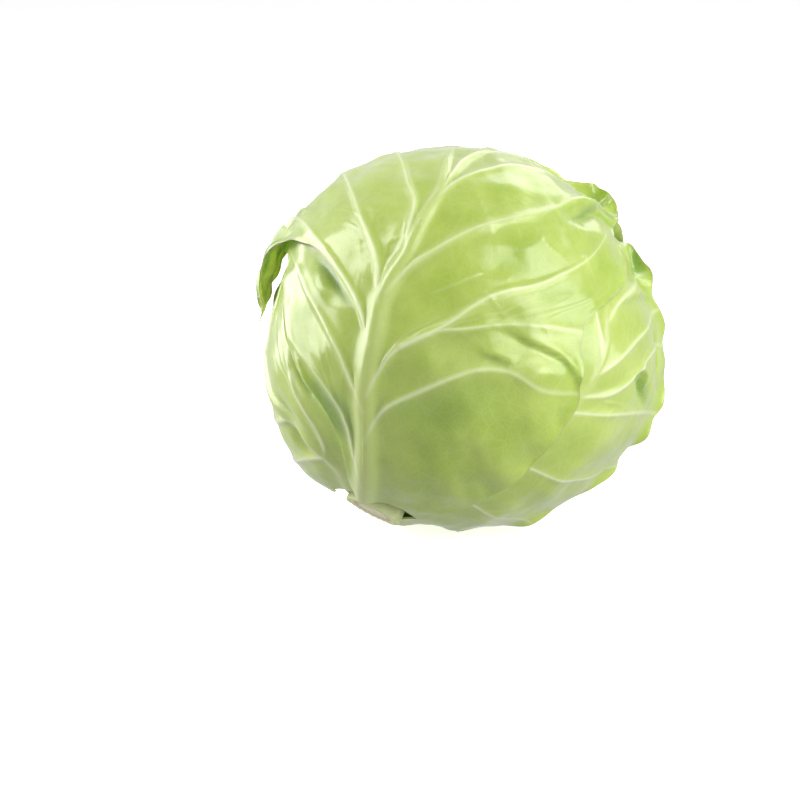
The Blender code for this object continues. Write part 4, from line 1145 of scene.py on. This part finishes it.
def leaf_material(name, sizes, depth_of_green):
    """Cabbage leaf blade, grown and unwashed: a green skin under a thin wax bloom.

    The blade is mottled in soft patches, paler beside the veins, with a fine net of veins. The side
    veins are greenish cream and the midrib is light green. Free and torn edges dry to a thin, dull
    straw line, and the wax gives broad soft highlights. Painted shade darkens folds, creases and dents,
    the pleats carry stripes of painted light and painted shade, and the inner face is painted paler.
    """
    material = bpy.data.materials.new(name)
    material.use_nodes = True
    tree = material.node_tree
    shader = tree.nodes["Principled BSDF"]
    masks = {
        mask: add_node(tree, "ShaderNodeAttribute", {"attribute_name": mask}, {}).outputs["Fac"]
        for mask in MASKS + ("face",)
    }
    place = add_node(tree, "ShaderNodeUVMap", {"uv_map": "leaf_map"}, {}).outputs["UV"]
    # Patches of deeper and lighter green, about 26 mm across.
    patches = add_node(tree, "ShaderNodeTexNoise", {}, {
        "Vector": place, "Scale": LEAF_MAP_SPAN / 26.0, "Detail": 3.0, "Roughness": 0.55,
    }).outputs["Fac"]
    patch_share = add_node(tree, "ShaderNodeMapRange", {}, {
        "Value": patches, "From Min": 0.36, "From Max": 0.66,
    }).outputs["Result"]
    green = add_node(tree, "ShaderNodeMix", {"data_type": "RGBA"}, {
        0: patch_share, 6: sizes.deep_colour[:] + (1.0,), 7: sizes.blade_colour[:] + (1.0,),
    }).outputs[2]
    # The vein net: meshes bent by noise, each about sizes.net across, with a finer net inside them.
    bent = add_node(tree, "ShaderNodeTexNoise", {}, {
        "Vector": place, "Scale": LEAF_MAP_SPAN / 11.0, "Detail": 2.0,
    }).outputs["Color"]
    bent_place = add_node(tree, "ShaderNodeVectorMath", {"operation": "MULTIPLY_ADD"}, {
        0: bent, 1: (0.05, 0.05, 0.0), 2: place,
    }).outputs["Vector"]
    net_line = add_node(tree, "ShaderNodeTexVoronoi", {"feature": "DISTANCE_TO_EDGE"}, {
        "Vector": bent_place, "Scale": LEAF_MAP_SPAN * MM / sizes.net,
    }).outputs["Distance"]
    net = add_node(tree, "ShaderNodeMapRange", {"interpolation_type": "SMOOTHSTEP"}, {
        "Value": net_line, "From Min": 0.0, "From Max": 0.075, "To Min": 0.28, "To Max": 0.0,
    }).outputs["Result"]
    fine_line = add_node(tree, "ShaderNodeTexVoronoi", {"feature": "DISTANCE_TO_EDGE"}, {
        "Vector": bent_place, "Scale": 3.1 * LEAF_MAP_SPAN * MM / sizes.net,
    }).outputs["Distance"]
    fine = add_node(tree, "ShaderNodeMapRange", {"interpolation_type": "SMOOTHSTEP"}, {
        "Value": fine_line, "From Min": 0.0, "From Max": 0.12, "To Min": 0.20, "To Max": 0.0,
    }).outputs["Result"]
    lines = net
    for finer in (fine, masks["twig"]):
        lines = add_node(tree, "ShaderNodeMath", {"operation": "MAXIMUM"}, {0: lines, 1: finer}).outputs[0]
    # Laid over the green in turn, each by its mask and share: the inner face, its own green made paler
    # as painted light through the thin blade; painted shade in folds, creases, dents and pleat tops; the
    # pale halo beside a vein, with painted light on the pleats' bottoms; the vein net, the side veins and
    # the midrib.
    for mask, share, colour in (
        (masks["face"], 0.80, sizes.inner_colour),
        (masks["hollow"], 0.85, sizes.painted_shade_colour),
        (masks["halo_and_painted_light"], 0.62, sizes.pale_colour),
        (lines, 0.30, sizes.vein_colour),
        (masks["rib"], 0.85, sizes.rib_colour),
        (masks["midrib"], 0.80, sizes.midrib_colour),
    ):
        amount = add_node(tree, "ShaderNodeMath", {"operation": "MULTIPLY"}, {0: mask, 1: share}).outputs[0]
        green = add_node(tree, "ShaderNodeMix", {"data_type": "RGBA"}, {
            0: amount, 6: green, 7: colour[:] + (1.0,),
        }).outputs[2]
    # A dry straw-coloured line along torn and free edges, under a millimetre wide.
    dry = add_node(tree, "ShaderNodeMapRange", {"interpolation_type": "SMOOTHSTEP"}, {
        "Value": masks["edge"], "From Min": 0.2, "From Max": 0.8, "To Min": 0.85, "To Max": 0.0,
    }).outputs["Result"]
    skin = add_node(tree, "ShaderNodeMix", {"data_type": "RGBA"}, {
        0: dry, 6: green, 7: sizes.margin_colour[:] + (1.0,),
    }).outputs[2]
    tree.links.new(skin, shader.inputs["Base Color"])
    # The wax bloom is uneven: rubbed spots shine a little more.
    rubbed = add_node(tree, "ShaderNodeTexNoise", {}, {
        "Vector": place, "Scale": LEAF_MAP_SPAN / 17.0, "Detail": 5.0, "Roughness": 0.6,
    }).outputs["Fac"]
    gloss = add_node(tree, "ShaderNodeMapRange", {}, {
        "Value": rubbed, "From Min": 0.3, "From Max": 0.7, "To Min": 0.30, "To Max": 0.44,
    }).outputs["Result"]
    tree.links.new(gloss, shader.inputs["Roughness"])
    # Relief too fine for the mesh: the finest veins, and a grain of 1.4 mm on the skin, at half of a
    # height of 0.16 mm.
    grain = add_node(tree, "ShaderNodeTexNoise", {}, {
        "Vector": place, "Scale": LEAF_MAP_SPAN / 1.4, "Detail": 2.0,
    }).outputs["Fac"]
    height = add_node(tree, "ShaderNodeMath", {"operation": "MULTIPLY_ADD"}, {
        0: grain, 1: 0.35, 2: lines,
    }).outputs[0]
    bump = add_node(tree, "ShaderNodeBump", {}, {"Height": height, "Strength": 0.5, "Distance": 0.16 * MM})
    tree.links.new(bump.outputs["Normal"], shader.inputs["Normal"])
    shader.inputs["Coat Weight"].default_value = 0.75
    shader.inputs["Coat Roughness"].default_value = 0.20
    shader.inputs["Subsurface Weight"].default_value = depth_of_green
    shader.inputs["Subsurface Radius"].default_value = (0.7, 1.0, 0.25)
    shader.inputs["Subsurface Scale"].default_value = 3.0 * MM
    shader.inputs["IOR"].default_value = 1.45
    shader.inputs["Sheen Weight"].default_value = 0.25
    shader.inputs["Sheen Roughness"].default_value = 0.45
    return material


def stem_material(sizes):
    """Cut cabbage stem, dull and slightly dried: pale pith, a fibrous straw ring, a light green skin."""
    material = bpy.data.materials.new("cut_stem_pith")
    material.use_nodes = True
    tree = material.node_tree
    shader = tree.nodes["Principled BSDF"]
    share = add_node(tree, "ShaderNodeAttribute", {"attribute_name": "share"}, {}).outputs["Fac"]
    flank = add_node(tree, "ShaderNodeAttribute", {"attribute_name": "flank"}, {}).outputs["Fac"]
    place = add_node(tree, "ShaderNodeTexCoord", {}, {}).outputs["Object"]
    fibres = add_node(tree, "ShaderNodeTexNoise", {}, {
        "Vector": place, "Scale": 1.0 / (1.6 * MM), "Detail": 4.0, "Roughness": 0.65,
    }).outputs["Fac"]
    # Rings across the cut, from the middle to the rim, which wander with the fibres.
    wander = add_node(tree, "ShaderNodeMath", {"operation": "MULTIPLY_ADD"}, {
        0: fibres, 1: 0.14, 2: share,
    }).outputs[0]
    rings = add_node(tree, "ShaderNodeValToRGB", {}, {"Fac": wander})
    ramp = rings.color_ramp
    ramp.elements[0].position = 0.0
    ramp.elements[0].color = sizes.pith_colour[:] + (1.0,)
    ramp.elements[1].position = 1.0
    ramp.elements[1].color = sizes.skin_colour[:] + (1.0,)
    stops = ((0.55, sizes.pith_colour), (0.72, sizes.fibre_colour), (0.84, sizes.pith_colour))
    for position, colour in stops:
        ramp.elements.new(position).color = colour[:] + (1.0,)
    skin = add_node(tree, "ShaderNodeMix", {"data_type": "RGBA"}, {
        0: flank, 6: rings.outputs["Color"], 7: sizes.skin_colour[:] + (1.0,),
    }).outputs[2]
    specks = add_node(tree, "ShaderNodeMapRange", {}, {
        "Value": fibres, "From Min": 0.55, "From Max": 0.75, "To Min": 0.0, "To Max": 0.5,
    }).outputs["Result"]
    skin = add_node(tree, "ShaderNodeMix", {"data_type": "RGBA"}, {
        0: specks, 6: skin, 7: sizes.fibre_colour[:] + (1.0,),
    }).outputs[2]
    tree.links.new(skin, shader.inputs["Base Color"])
    bump = add_node(tree, "ShaderNodeBump", {}, {"Height": fibres, "Strength": 0.6, "Distance": 0.5 * MM})
    tree.links.new(bump.outputs["Normal"], shader.inputs["Normal"])
    shader.inputs["Roughness"].default_value = 0.62
    shader.inputs["Subsurface Weight"].default_value = 0.15
    shader.inputs["Subsurface Radius"].default_value = (1.0, 0.9, 0.5)
    shader.inputs["Subsurface Scale"].default_value = 2.0 * MM
    return material


def stage_material():
    """White card: matt paper with a little light of its own, so that it runs into the white behind."""
    material = bpy.data.materials.new("matt_white_card")
    material.use_nodes = True
    tree = material.node_tree
    shader = tree.nodes["Principled BSDF"]
    place = add_node(tree, "ShaderNodeTexCoord", {}, {}).outputs["Object"]
    tooth = add_node(tree, "ShaderNodeTexNoise", {}, {
        "Vector": place, "Scale": 1.0 / (2.0 * MM),
    }).outputs["Fac"]
    bump = add_node(tree, "ShaderNodeBump", {}, {"Height": tooth, "Strength": 0.05, "Distance": 0.1 * MM})
    tree.links.new(bump.outputs["Normal"], shader.inputs["Normal"])
    shader.inputs["Base Color"].default_value = linear("#F9F9F8") + (1.0,)
    shader.inputs["Roughness"].default_value = 0.9
    shader.inputs["Emission Color"].default_value = (1.0, 1.0, 1.0, 1.0)
    shader.inputs["Emission Strength"].default_value = 0.70
    return material


# What every small length has in common, and every colour.
LENGTH = {"precision": 5, "subtype": "DISTANCE", "unit": "LENGTH"}
COLOUR = {"subtype": "COLOR", "size": 3, "min": 0.0, "max": 1.0}


class LeafSettings(bpy.types.PropertyGroup):
    """Sizes and colours that the leaves share."""

    blade: FloatProperty(
        name="Blade thickness", description="Thickness of a leaf between its ribs",
        default=BLADE * MM, min=0.3 * MM, max=2.0 * MM, **LENGTH,
    )
    margin: FloatProperty(
        name="Margin thickness", description="Thickness of a leaf at its free edge",
        default=0.35 * MM, min=0.1 * MM, max=1.0 * MM, **LENGTH,
    )
    swell: FloatProperty(
        name="Blade swell", description="Height of the soft hills between the veins",
        default=0.38 * MM, min=0.0, max=1.5 * MM, **LENGTH,
    )
    notch: FloatProperty(
        name="Margin notch", description="How far the free edge wanders in from its drawn line",
        default=1.0 * MM, min=0.0, max=3.0 * MM, **LENGTH,
    )
    net: FloatProperty(
        name="Vein net", description="Width of one mesh of the fine vein net",
        default=8.0 * MM, min=2.0 * MM, max=20.0 * MM, **LENGTH,
    )
    lip_turn: FloatProperty(
        name="Lip turn", description="How far the last millimetres of a free edge turn out, in degrees",
        default=22.0, min=0.0, max=60.0,
    )
    blade_colour: FloatVectorProperty(
        name="Blade", description="Main green of the blade",
        **COLOUR, default=linear("#B2C85A"),
    )
    deep_colour: FloatVectorProperty(
        name="Deep green", description="Green of the darker patches",
        **COLOUR, default=linear("#A0B945"),
    )
    # Partly the inner face's own green, partly painted light: made paler to stand in for light coming through
    # the thin blade.
    inner_colour: FloatVectorProperty(
        name="Inner face", description="Green of a leaf's inner face",
        **COLOUR, default=linear("#D2E3A2"),
    )
    # Painted shade: the dark green laid where shade falls in folds, creases, dents and on pleat tops.
    painted_shade_colour: FloatVectorProperty(
        name="Folds", description="Green at the bottom of folds and hollows",
        **COLOUR, default=linear("#5F8A2A"),
    )
    # Also painted light: the bottoms of the front leaf's pleats are laid in this paler green.
    pale_colour: FloatVectorProperty(
        name="Vein halo", description="Paler green beside the veins",
        **COLOUR, default=linear("#C6D680"),
    )
    vein_colour: FloatVectorProperty(
        name="Vein net", description="Colour of the fine veins",
        **COLOUR, default=linear("#D9E7A2"),
    )
    rib_colour: FloatVectorProperty(
        name="Ribs", description="Colour of the midrib and side veins",
        **COLOUR, default=linear("#E6EFC2"),
    )
    midrib_colour: FloatVectorProperty(
        name="Midrib", description="Colour of the thick midrib",
        **COLOUR, default=linear("#BDCD78"),
    )
    margin_colour: FloatVectorProperty(
        name="Dry edge", description="Colour of cut, torn and free edges",
        **COLOUR, default=linear("#A9A47A"),
    )


class StemSettings(bpy.types.PropertyGroup):
    """Sizes and colours of the cut stem."""

    ridge: FloatProperty(
        name="Ridges", description="Height of the ridges round the stem",
        default=0.5 * MM, min=0.0, max=1.5 * MM, **LENGTH,
    )
    hollow: FloatProperty(
        name="Cut face hollow", description="How far the dried pith has sunk in the middle of the cut",
        default=0.8 * MM, min=0.0, max=3.0 * MM, **LENGTH,
    )
    pith_colour: FloatVectorProperty(
        name="Pith", description="Colour of the fresh pith",
        **COLOUR, default=linear("#EDE9C9"),
    )
    fibre_colour: FloatVectorProperty(
        name="Fibres", description="Colour of the drying fibres",
        **COLOUR, default=linear("#C9B783"),
    )
    skin_colour: FloatVectorProperty(
        name="Skin", description="Colour of the stem's side",
        **COLOUR, default=linear("#CBD49A"),
    )


class StageSettings(bpy.types.PropertyGroup):
    """Camera distance, lights and floor of the studio."""

    distance: FloatProperty(
        name="Camera distance", description="From the middle of the head to the camera",
        default=1.15, min=0.5, max=5.0, subtype="DISTANCE", unit="LENGTH",
    )
    frame_width: FloatProperty(
        name="Frame width", description="Width of the picture at the middle of the head",
        default=0.372, min=0.1, max=2.0, subtype="DISTANCE", unit="LENGTH",
    )
    elevation: FloatProperty(
        name="Elevation", description="How far the camera looks down on the head",
        default=math.radians(14.0), min=0.0, max=1.5, subtype="ANGLE", unit="ROTATION",
    )
    sky: FloatProperty(
        name="Room light", description="Strength of the even white light from above the table",
        default=0.05, min=0.0, max=3.0,
    )
    backdrop: FloatProperty(
        name="Backdrop light", description="Strength of the white light from behind the head",
        default=0.65, min=0.0, max=3.0,
    )
    under: FloatProperty(
        name="Bounced light", description="Strength of the light that comes up from the table",
        default=0.60, min=0.0, max=3.0,
    )
    key: FloatProperty(
        name="Softboxes", description="Share of full power for all the softboxes",
        default=1.0, min=0.0, max=5.0,
    )
    floor: FloatProperty(
        name="Floor size", description="Length of each side of the white floor",
        default=12.0, min=1.0, max=50.0, subtype="DISTANCE", unit="LENGTH",
    )


def dress_leaf(name, node, columns, tear_column, depth_of_green):
    """Make one wrapper leaf as a closed shell, with its material, in place of its CAD node."""
    sizes = bpy.context.scene.cabbage_leaves
    leaf = wrapper_leaves()[node]
    points, outward, thickness, spots, masks, triangles = leaf_sheet(leaf, columns, tear_column, sizes)
    points, faces = closed_shell(points, outward, thickness, triangles)
    values = {mask: np.tile(masks[:, column], 2) for column, mask in enumerate(MASKS)}
    values["face"] = np.repeat((0.0, 1.0), len(spots))
    piece = add_mesh(name, points + head_centre(), faces, values, np.concatenate((spots, spots)))
    piece.data.materials.append(leaf_material(f"{name}_waxy_blade", sizes, depth_of_green))
    stand_for(piece, node)
    return piece


class CABBAGE_OT_front_leaf(bpy.types.Operator):
    """Add the outermost leaf, with its thick midrib and its torn upper left corner"""

    bl_idname = "cabbage.front_leaf"
    bl_label = "Front leaf"

    def execute(self, context):
        dress_leaf("outer_leaf_front", "front_leaf", FRONT_COLUMNS, TEAR_COLUMN, FRONT_GLOW)
        return {"FINISHED"}


class CABBAGE_OT_side_leaves(bpy.types.Operator):
    """Add the leaves under the front leaf's left and right margins"""

    bl_idname = "cabbage.side_leaves"
    bl_label = "Side leaves"

    def execute(self, context):
        dress_leaf("outer_leaf_left", "left_leaf", LEAF_COLUMNS, 0, LEAF_GLOW)
        dress_leaf("outer_leaf_right", "right_leaf", LEAF_COLUMNS, 0, LEAF_GLOW)
        return {"FINISHED"}


class CABBAGE_OT_back_leaf(bpy.types.Operator):
    """Add the leaf that covers the back of the head"""

    bl_idname = "cabbage.back_leaf"
    bl_label = "Back leaf"

    def execute(self, context):
        dress_leaf("outer_leaf_back", "back_leaf", LEAF_COLUMNS, 0, LEAF_GLOW)
        return {"FINISHED"}


class CABBAGE_OT_heart(bpy.types.Operator):
    """Add the dense heart under the wrapper leaves"""

    bl_idname = "cabbage.heart"
    bl_label = "Heart"

    def execute(self, context):
        sizes = context.scene.cabbage_leaves
        leaves = wrapper_leaves()
        above = [leaves[name] for name in ("back_leaf", "right_leaf", "left_leaf", "front_leaf")]
        base, grid, top, vein = heart_body(above, HEART_RINGS, HEART_SPOKES)
        points, faces = closed_turning(base, grid, top)
        values = dict.fromkeys(MASKS + ("face",), np.zeros(len(points)))
        values["rib"] = with_ends(vein, 0.0, 0.0)
        values["halo_and_painted_light"] = with_ends(0.5 + 0.5 * vein, 0.0, 0.0)
        values["edge"] = np.full(len(points), EDGE_REACH)
        across = points[1:-1] @ np.stack((FRONT_MERIDIAN, SIDE_MERIDIAN), axis=1) / MM
        spots = np.concatenate((np.zeros((1, 2)), across, np.zeros((1, 2))))
        piece = add_mesh("cabbage_heart", points + head_centre(), faces, values, spots)
        piece.data.materials.append(leaf_material("heart_waxy_blade", sizes, HEART_GLOW))
        stand_for(piece, "heart")
        return {"FINISHED"}


class CABBAGE_OT_stem(bpy.types.Operator):
    """Add the cut stem"""

    bl_idname = "cabbage.stem"
    bl_label = "Cut stem"

    def execute(self, context):
        sizes = context.scene.cabbage_stem
        base, grid, top, share, flank = stem_body(STEM_SIDES, sizes)
        points, faces = closed_turning(base, grid, top)
        values = {"share": with_ends(share, 0.0, 1.0), "flank": with_ends(flank, 0.0, 1.0)}
        piece = add_mesh("cut_stem", points + head_centre(), faces, values)
        piece.data.materials.append(stem_material(sizes))
        stand_for(piece, "stem")
        return {"FINISHED"}


# Softboxes: name, bearing from the front towards the right and height in degrees, power in watts.
SOFTBOXES = (
    ("softbox_left_back", -120.0, 8.0, 6.0),
    ("softbox_left_low", -90.0, 8.0, 7.0),
    ("softbox_left_high", -90.0, 42.0, 9.0),
    ("softbox_front", 0.0, 15.0, 1.0),
    ("softbox_front_low", 42.0, 8.0, 6.0),
    ("softbox_front_high", 42.0, 42.0, 5.0),
    ("softbox_right_low", 66.0, 8.0, 6.0),
    ("softbox_right_high", 72.0, 42.0, 5.0),
    ("softbox_back", 150.0, 40.0, 3.0),
)
SOFTBOX_DISTANCE = 1.3     # from the middle of the head, m
SOFTBOX_SIDE = 0.65        # m

SENSOR_WIDTH = 36.0        # width of the camera's sensor, mm
FRAMING_SHIFT = -0.0775    # puts the head's middle this share of the frame right of its middle and above it

# How far a direction rises or sinks, and turns to the back, before the room light is all of one kind.
ROOM_LEVEL = 0.3
ROOM_BACK = 0.7


def add_floor(settings):
    """The white floor, a square about the origin, which throws no light back on the head."""
    half = 0.5 * settings.floor
    corners = [(-half, -half, 0.0), (half, -half, 0.0), (half, half, 0.0), (-half, half, 0.0)]
    mesh = bpy.data.meshes.new("white_floor")
    mesh.from_pydata(corners, [], [(0, 1, 2, 3)])
    mesh.materials.append(stage_material())
    floor = bpy.data.objects.new("white_floor", mesh)
    bpy.context.scene.collection.objects.link(floor)
    floor.visible_diffuse = False
    floor.visible_glossy = False


def add_camera(settings, centre):
    """The camera, in front of the head and looking down on its middle."""
    camera_data = bpy.data.cameras.new("camera")
    camera_data.sensor_width = SENSOR_WIDTH
    camera_data.lens = SENSOR_WIDTH * settings.distance / settings.frame_width
    camera_data.shift_x = FRAMING_SHIFT
    camera_data.shift_y = FRAMING_SHIFT
    camera = bpy.data.objects.new("camera", camera_data)
    back = np.array((0.0, -math.cos(settings.elevation), math.sin(settings.elevation)))
    camera.location = centre + back * settings.distance
    camera.rotation_euler = (0.5 * math.pi - settings.elevation, 0.0, 0.0)
    bpy.context.scene.collection.objects.link(camera)
    bpy.context.scene.camera = camera


def add_softboxes(settings, centre):
    """The softboxes: square lights on a sphere round the head, each turned to its middle."""
    for name, bearing, height, power in SOFTBOXES:
        light_data = bpy.data.lights.new(name, "AREA")
        light_data.size = SOFTBOX_SIDE
        light_data.energy = power * settings.key
        light = bpy.data.objects.new(name, light_data)
        turn, tilt = math.radians(bearing), math.radians(height)
        level = math.cos(tilt)
        direction = np.array((math.sin(turn) * level, -math.cos(turn) * level, math.sin(tilt)))
        light.location = centre + direction * SOFTBOX_DISTANCE
        light.rotation_euler = (0.5 * math.pi - tilt, 0.0, turn)
        bpy.context.scene.collection.objects.link(light)


def add_room_light(settings):
    """The white room: the camera sees it plain white, and it lights the head by direction.

    Its strength goes from under to sky as the direction rises past level, and from there to backdrop
    as the direction turns to the back.
    """
    world = bpy.data.worlds.new("white_room")
    world.use_nodes = True
    tree = world.node_tree
    seen = add_node(tree, "ShaderNodeLightPath", {}, {}).outputs["Is Camera Ray"]
    towards = add_node(tree, "ShaderNodeTexCoord", {}, {}).outputs["Generated"]
    split = add_node(tree, "ShaderNodeSeparateXYZ", {}, {"Vector": towards})
    front = add_node(tree, "ShaderNodeMapRange", {}, {
        "Value": split.outputs["Z"], "From Min": -ROOM_LEVEL, "From Max": ROOM_LEVEL,
        "To Min": settings.under, "To Max": settings.sky,
    }).outputs["Result"]
    glow = add_node(tree, "ShaderNodeMapRange", {}, {
        "Value": split.outputs["Y"], "From Min": 0.0, "From Max": ROOM_BACK,
        "To Min": front, "To Max": settings.backdrop,
    }).outputs["Result"]
    strength = add_node(tree, "ShaderNodeMapRange", {}, {
        "Value": seen, "To Min": glow, "To Max": 1.0,
    }).outputs["Result"]
    tree.links.new(strength, tree.nodes["Background"].inputs["Strength"])
    tree.nodes["Background"].inputs["Color"].default_value = (1.0, 1.0, 1.0, 1.0)
    bpy.context.scene.world = world


class CABBAGE_OT_stage(bpy.types.Operator):
    """Add the white floor, the camera, the softboxes and the soft room light"""

    bl_idname = "cabbage.stage"
    bl_label = "Studio"

    def execute(self, context):
        settings = context.scene.cabbage_stage
        centre = head_centre()
        add_floor(settings)
        add_camera(settings, centre)
        add_softboxes(settings, centre)
        add_room_light(settings)
        context.scene.view_settings.view_transform = "Standard"
        return {"FINISHED"}


PIECES = ("front_leaf", "side_leaves", "back_leaf", "heart", "stem", "stage")


class CABBAGE_PT_panel(bpy.types.Panel):
    """Lists the pieces of the cabbage head and their settings"""

    bl_idname = "CABBAGE_PT_panel"
    bl_label = "Cabbage head"
    bl_space_type = "VIEW_3D"
    bl_region_type = "UI"
    bl_category = "Cabbage"

    def draw(self, context):
        scene = context.scene
        for settings in (scene.cabbage_leaves, scene.cabbage_stem, scene.cabbage_stage):
            for name in settings.__annotations__:
                self.layout.prop(settings, name)
        for piece in PIECES:
            self.layout.operator(f"cabbage.{piece}")


CLASSES = (
    LeafSettings, StemSettings, StageSettings, CABBAGE_OT_front_leaf, CABBAGE_OT_side_leaves,
    CABBAGE_OT_back_leaf, CABBAGE_OT_heart, CABBAGE_OT_stem, CABBAGE_OT_stage, CABBAGE_PT_panel,
)


def register():
    """Register the classes and give each scene its three groups of settings."""
    for item in CLASSES:
        bpy.utils.register_class(item)
    bpy.types.Scene.cabbage_leaves = PointerProperty(type=LeafSettings)
    bpy.types.Scene.cabbage_stem = PointerProperty(type=StemSettings)
    bpy.types.Scene.cabbage_stage = PointerProperty(type=StageSettings)


def unregister():
    """Undo register, in the opposite order."""
    del bpy.types.Scene.cabbage_stage
    del bpy.types.Scene.cabbage_stem
    del bpy.types.Scene.cabbage_leaves
    for item in reversed(CLASSES):
        bpy.utils.unregister_class(item)


def main():
    register()
    for piece in PIECES:
        getattr(bpy.ops.cabbage, piece)()


if __name__ == "__main__":
    main()
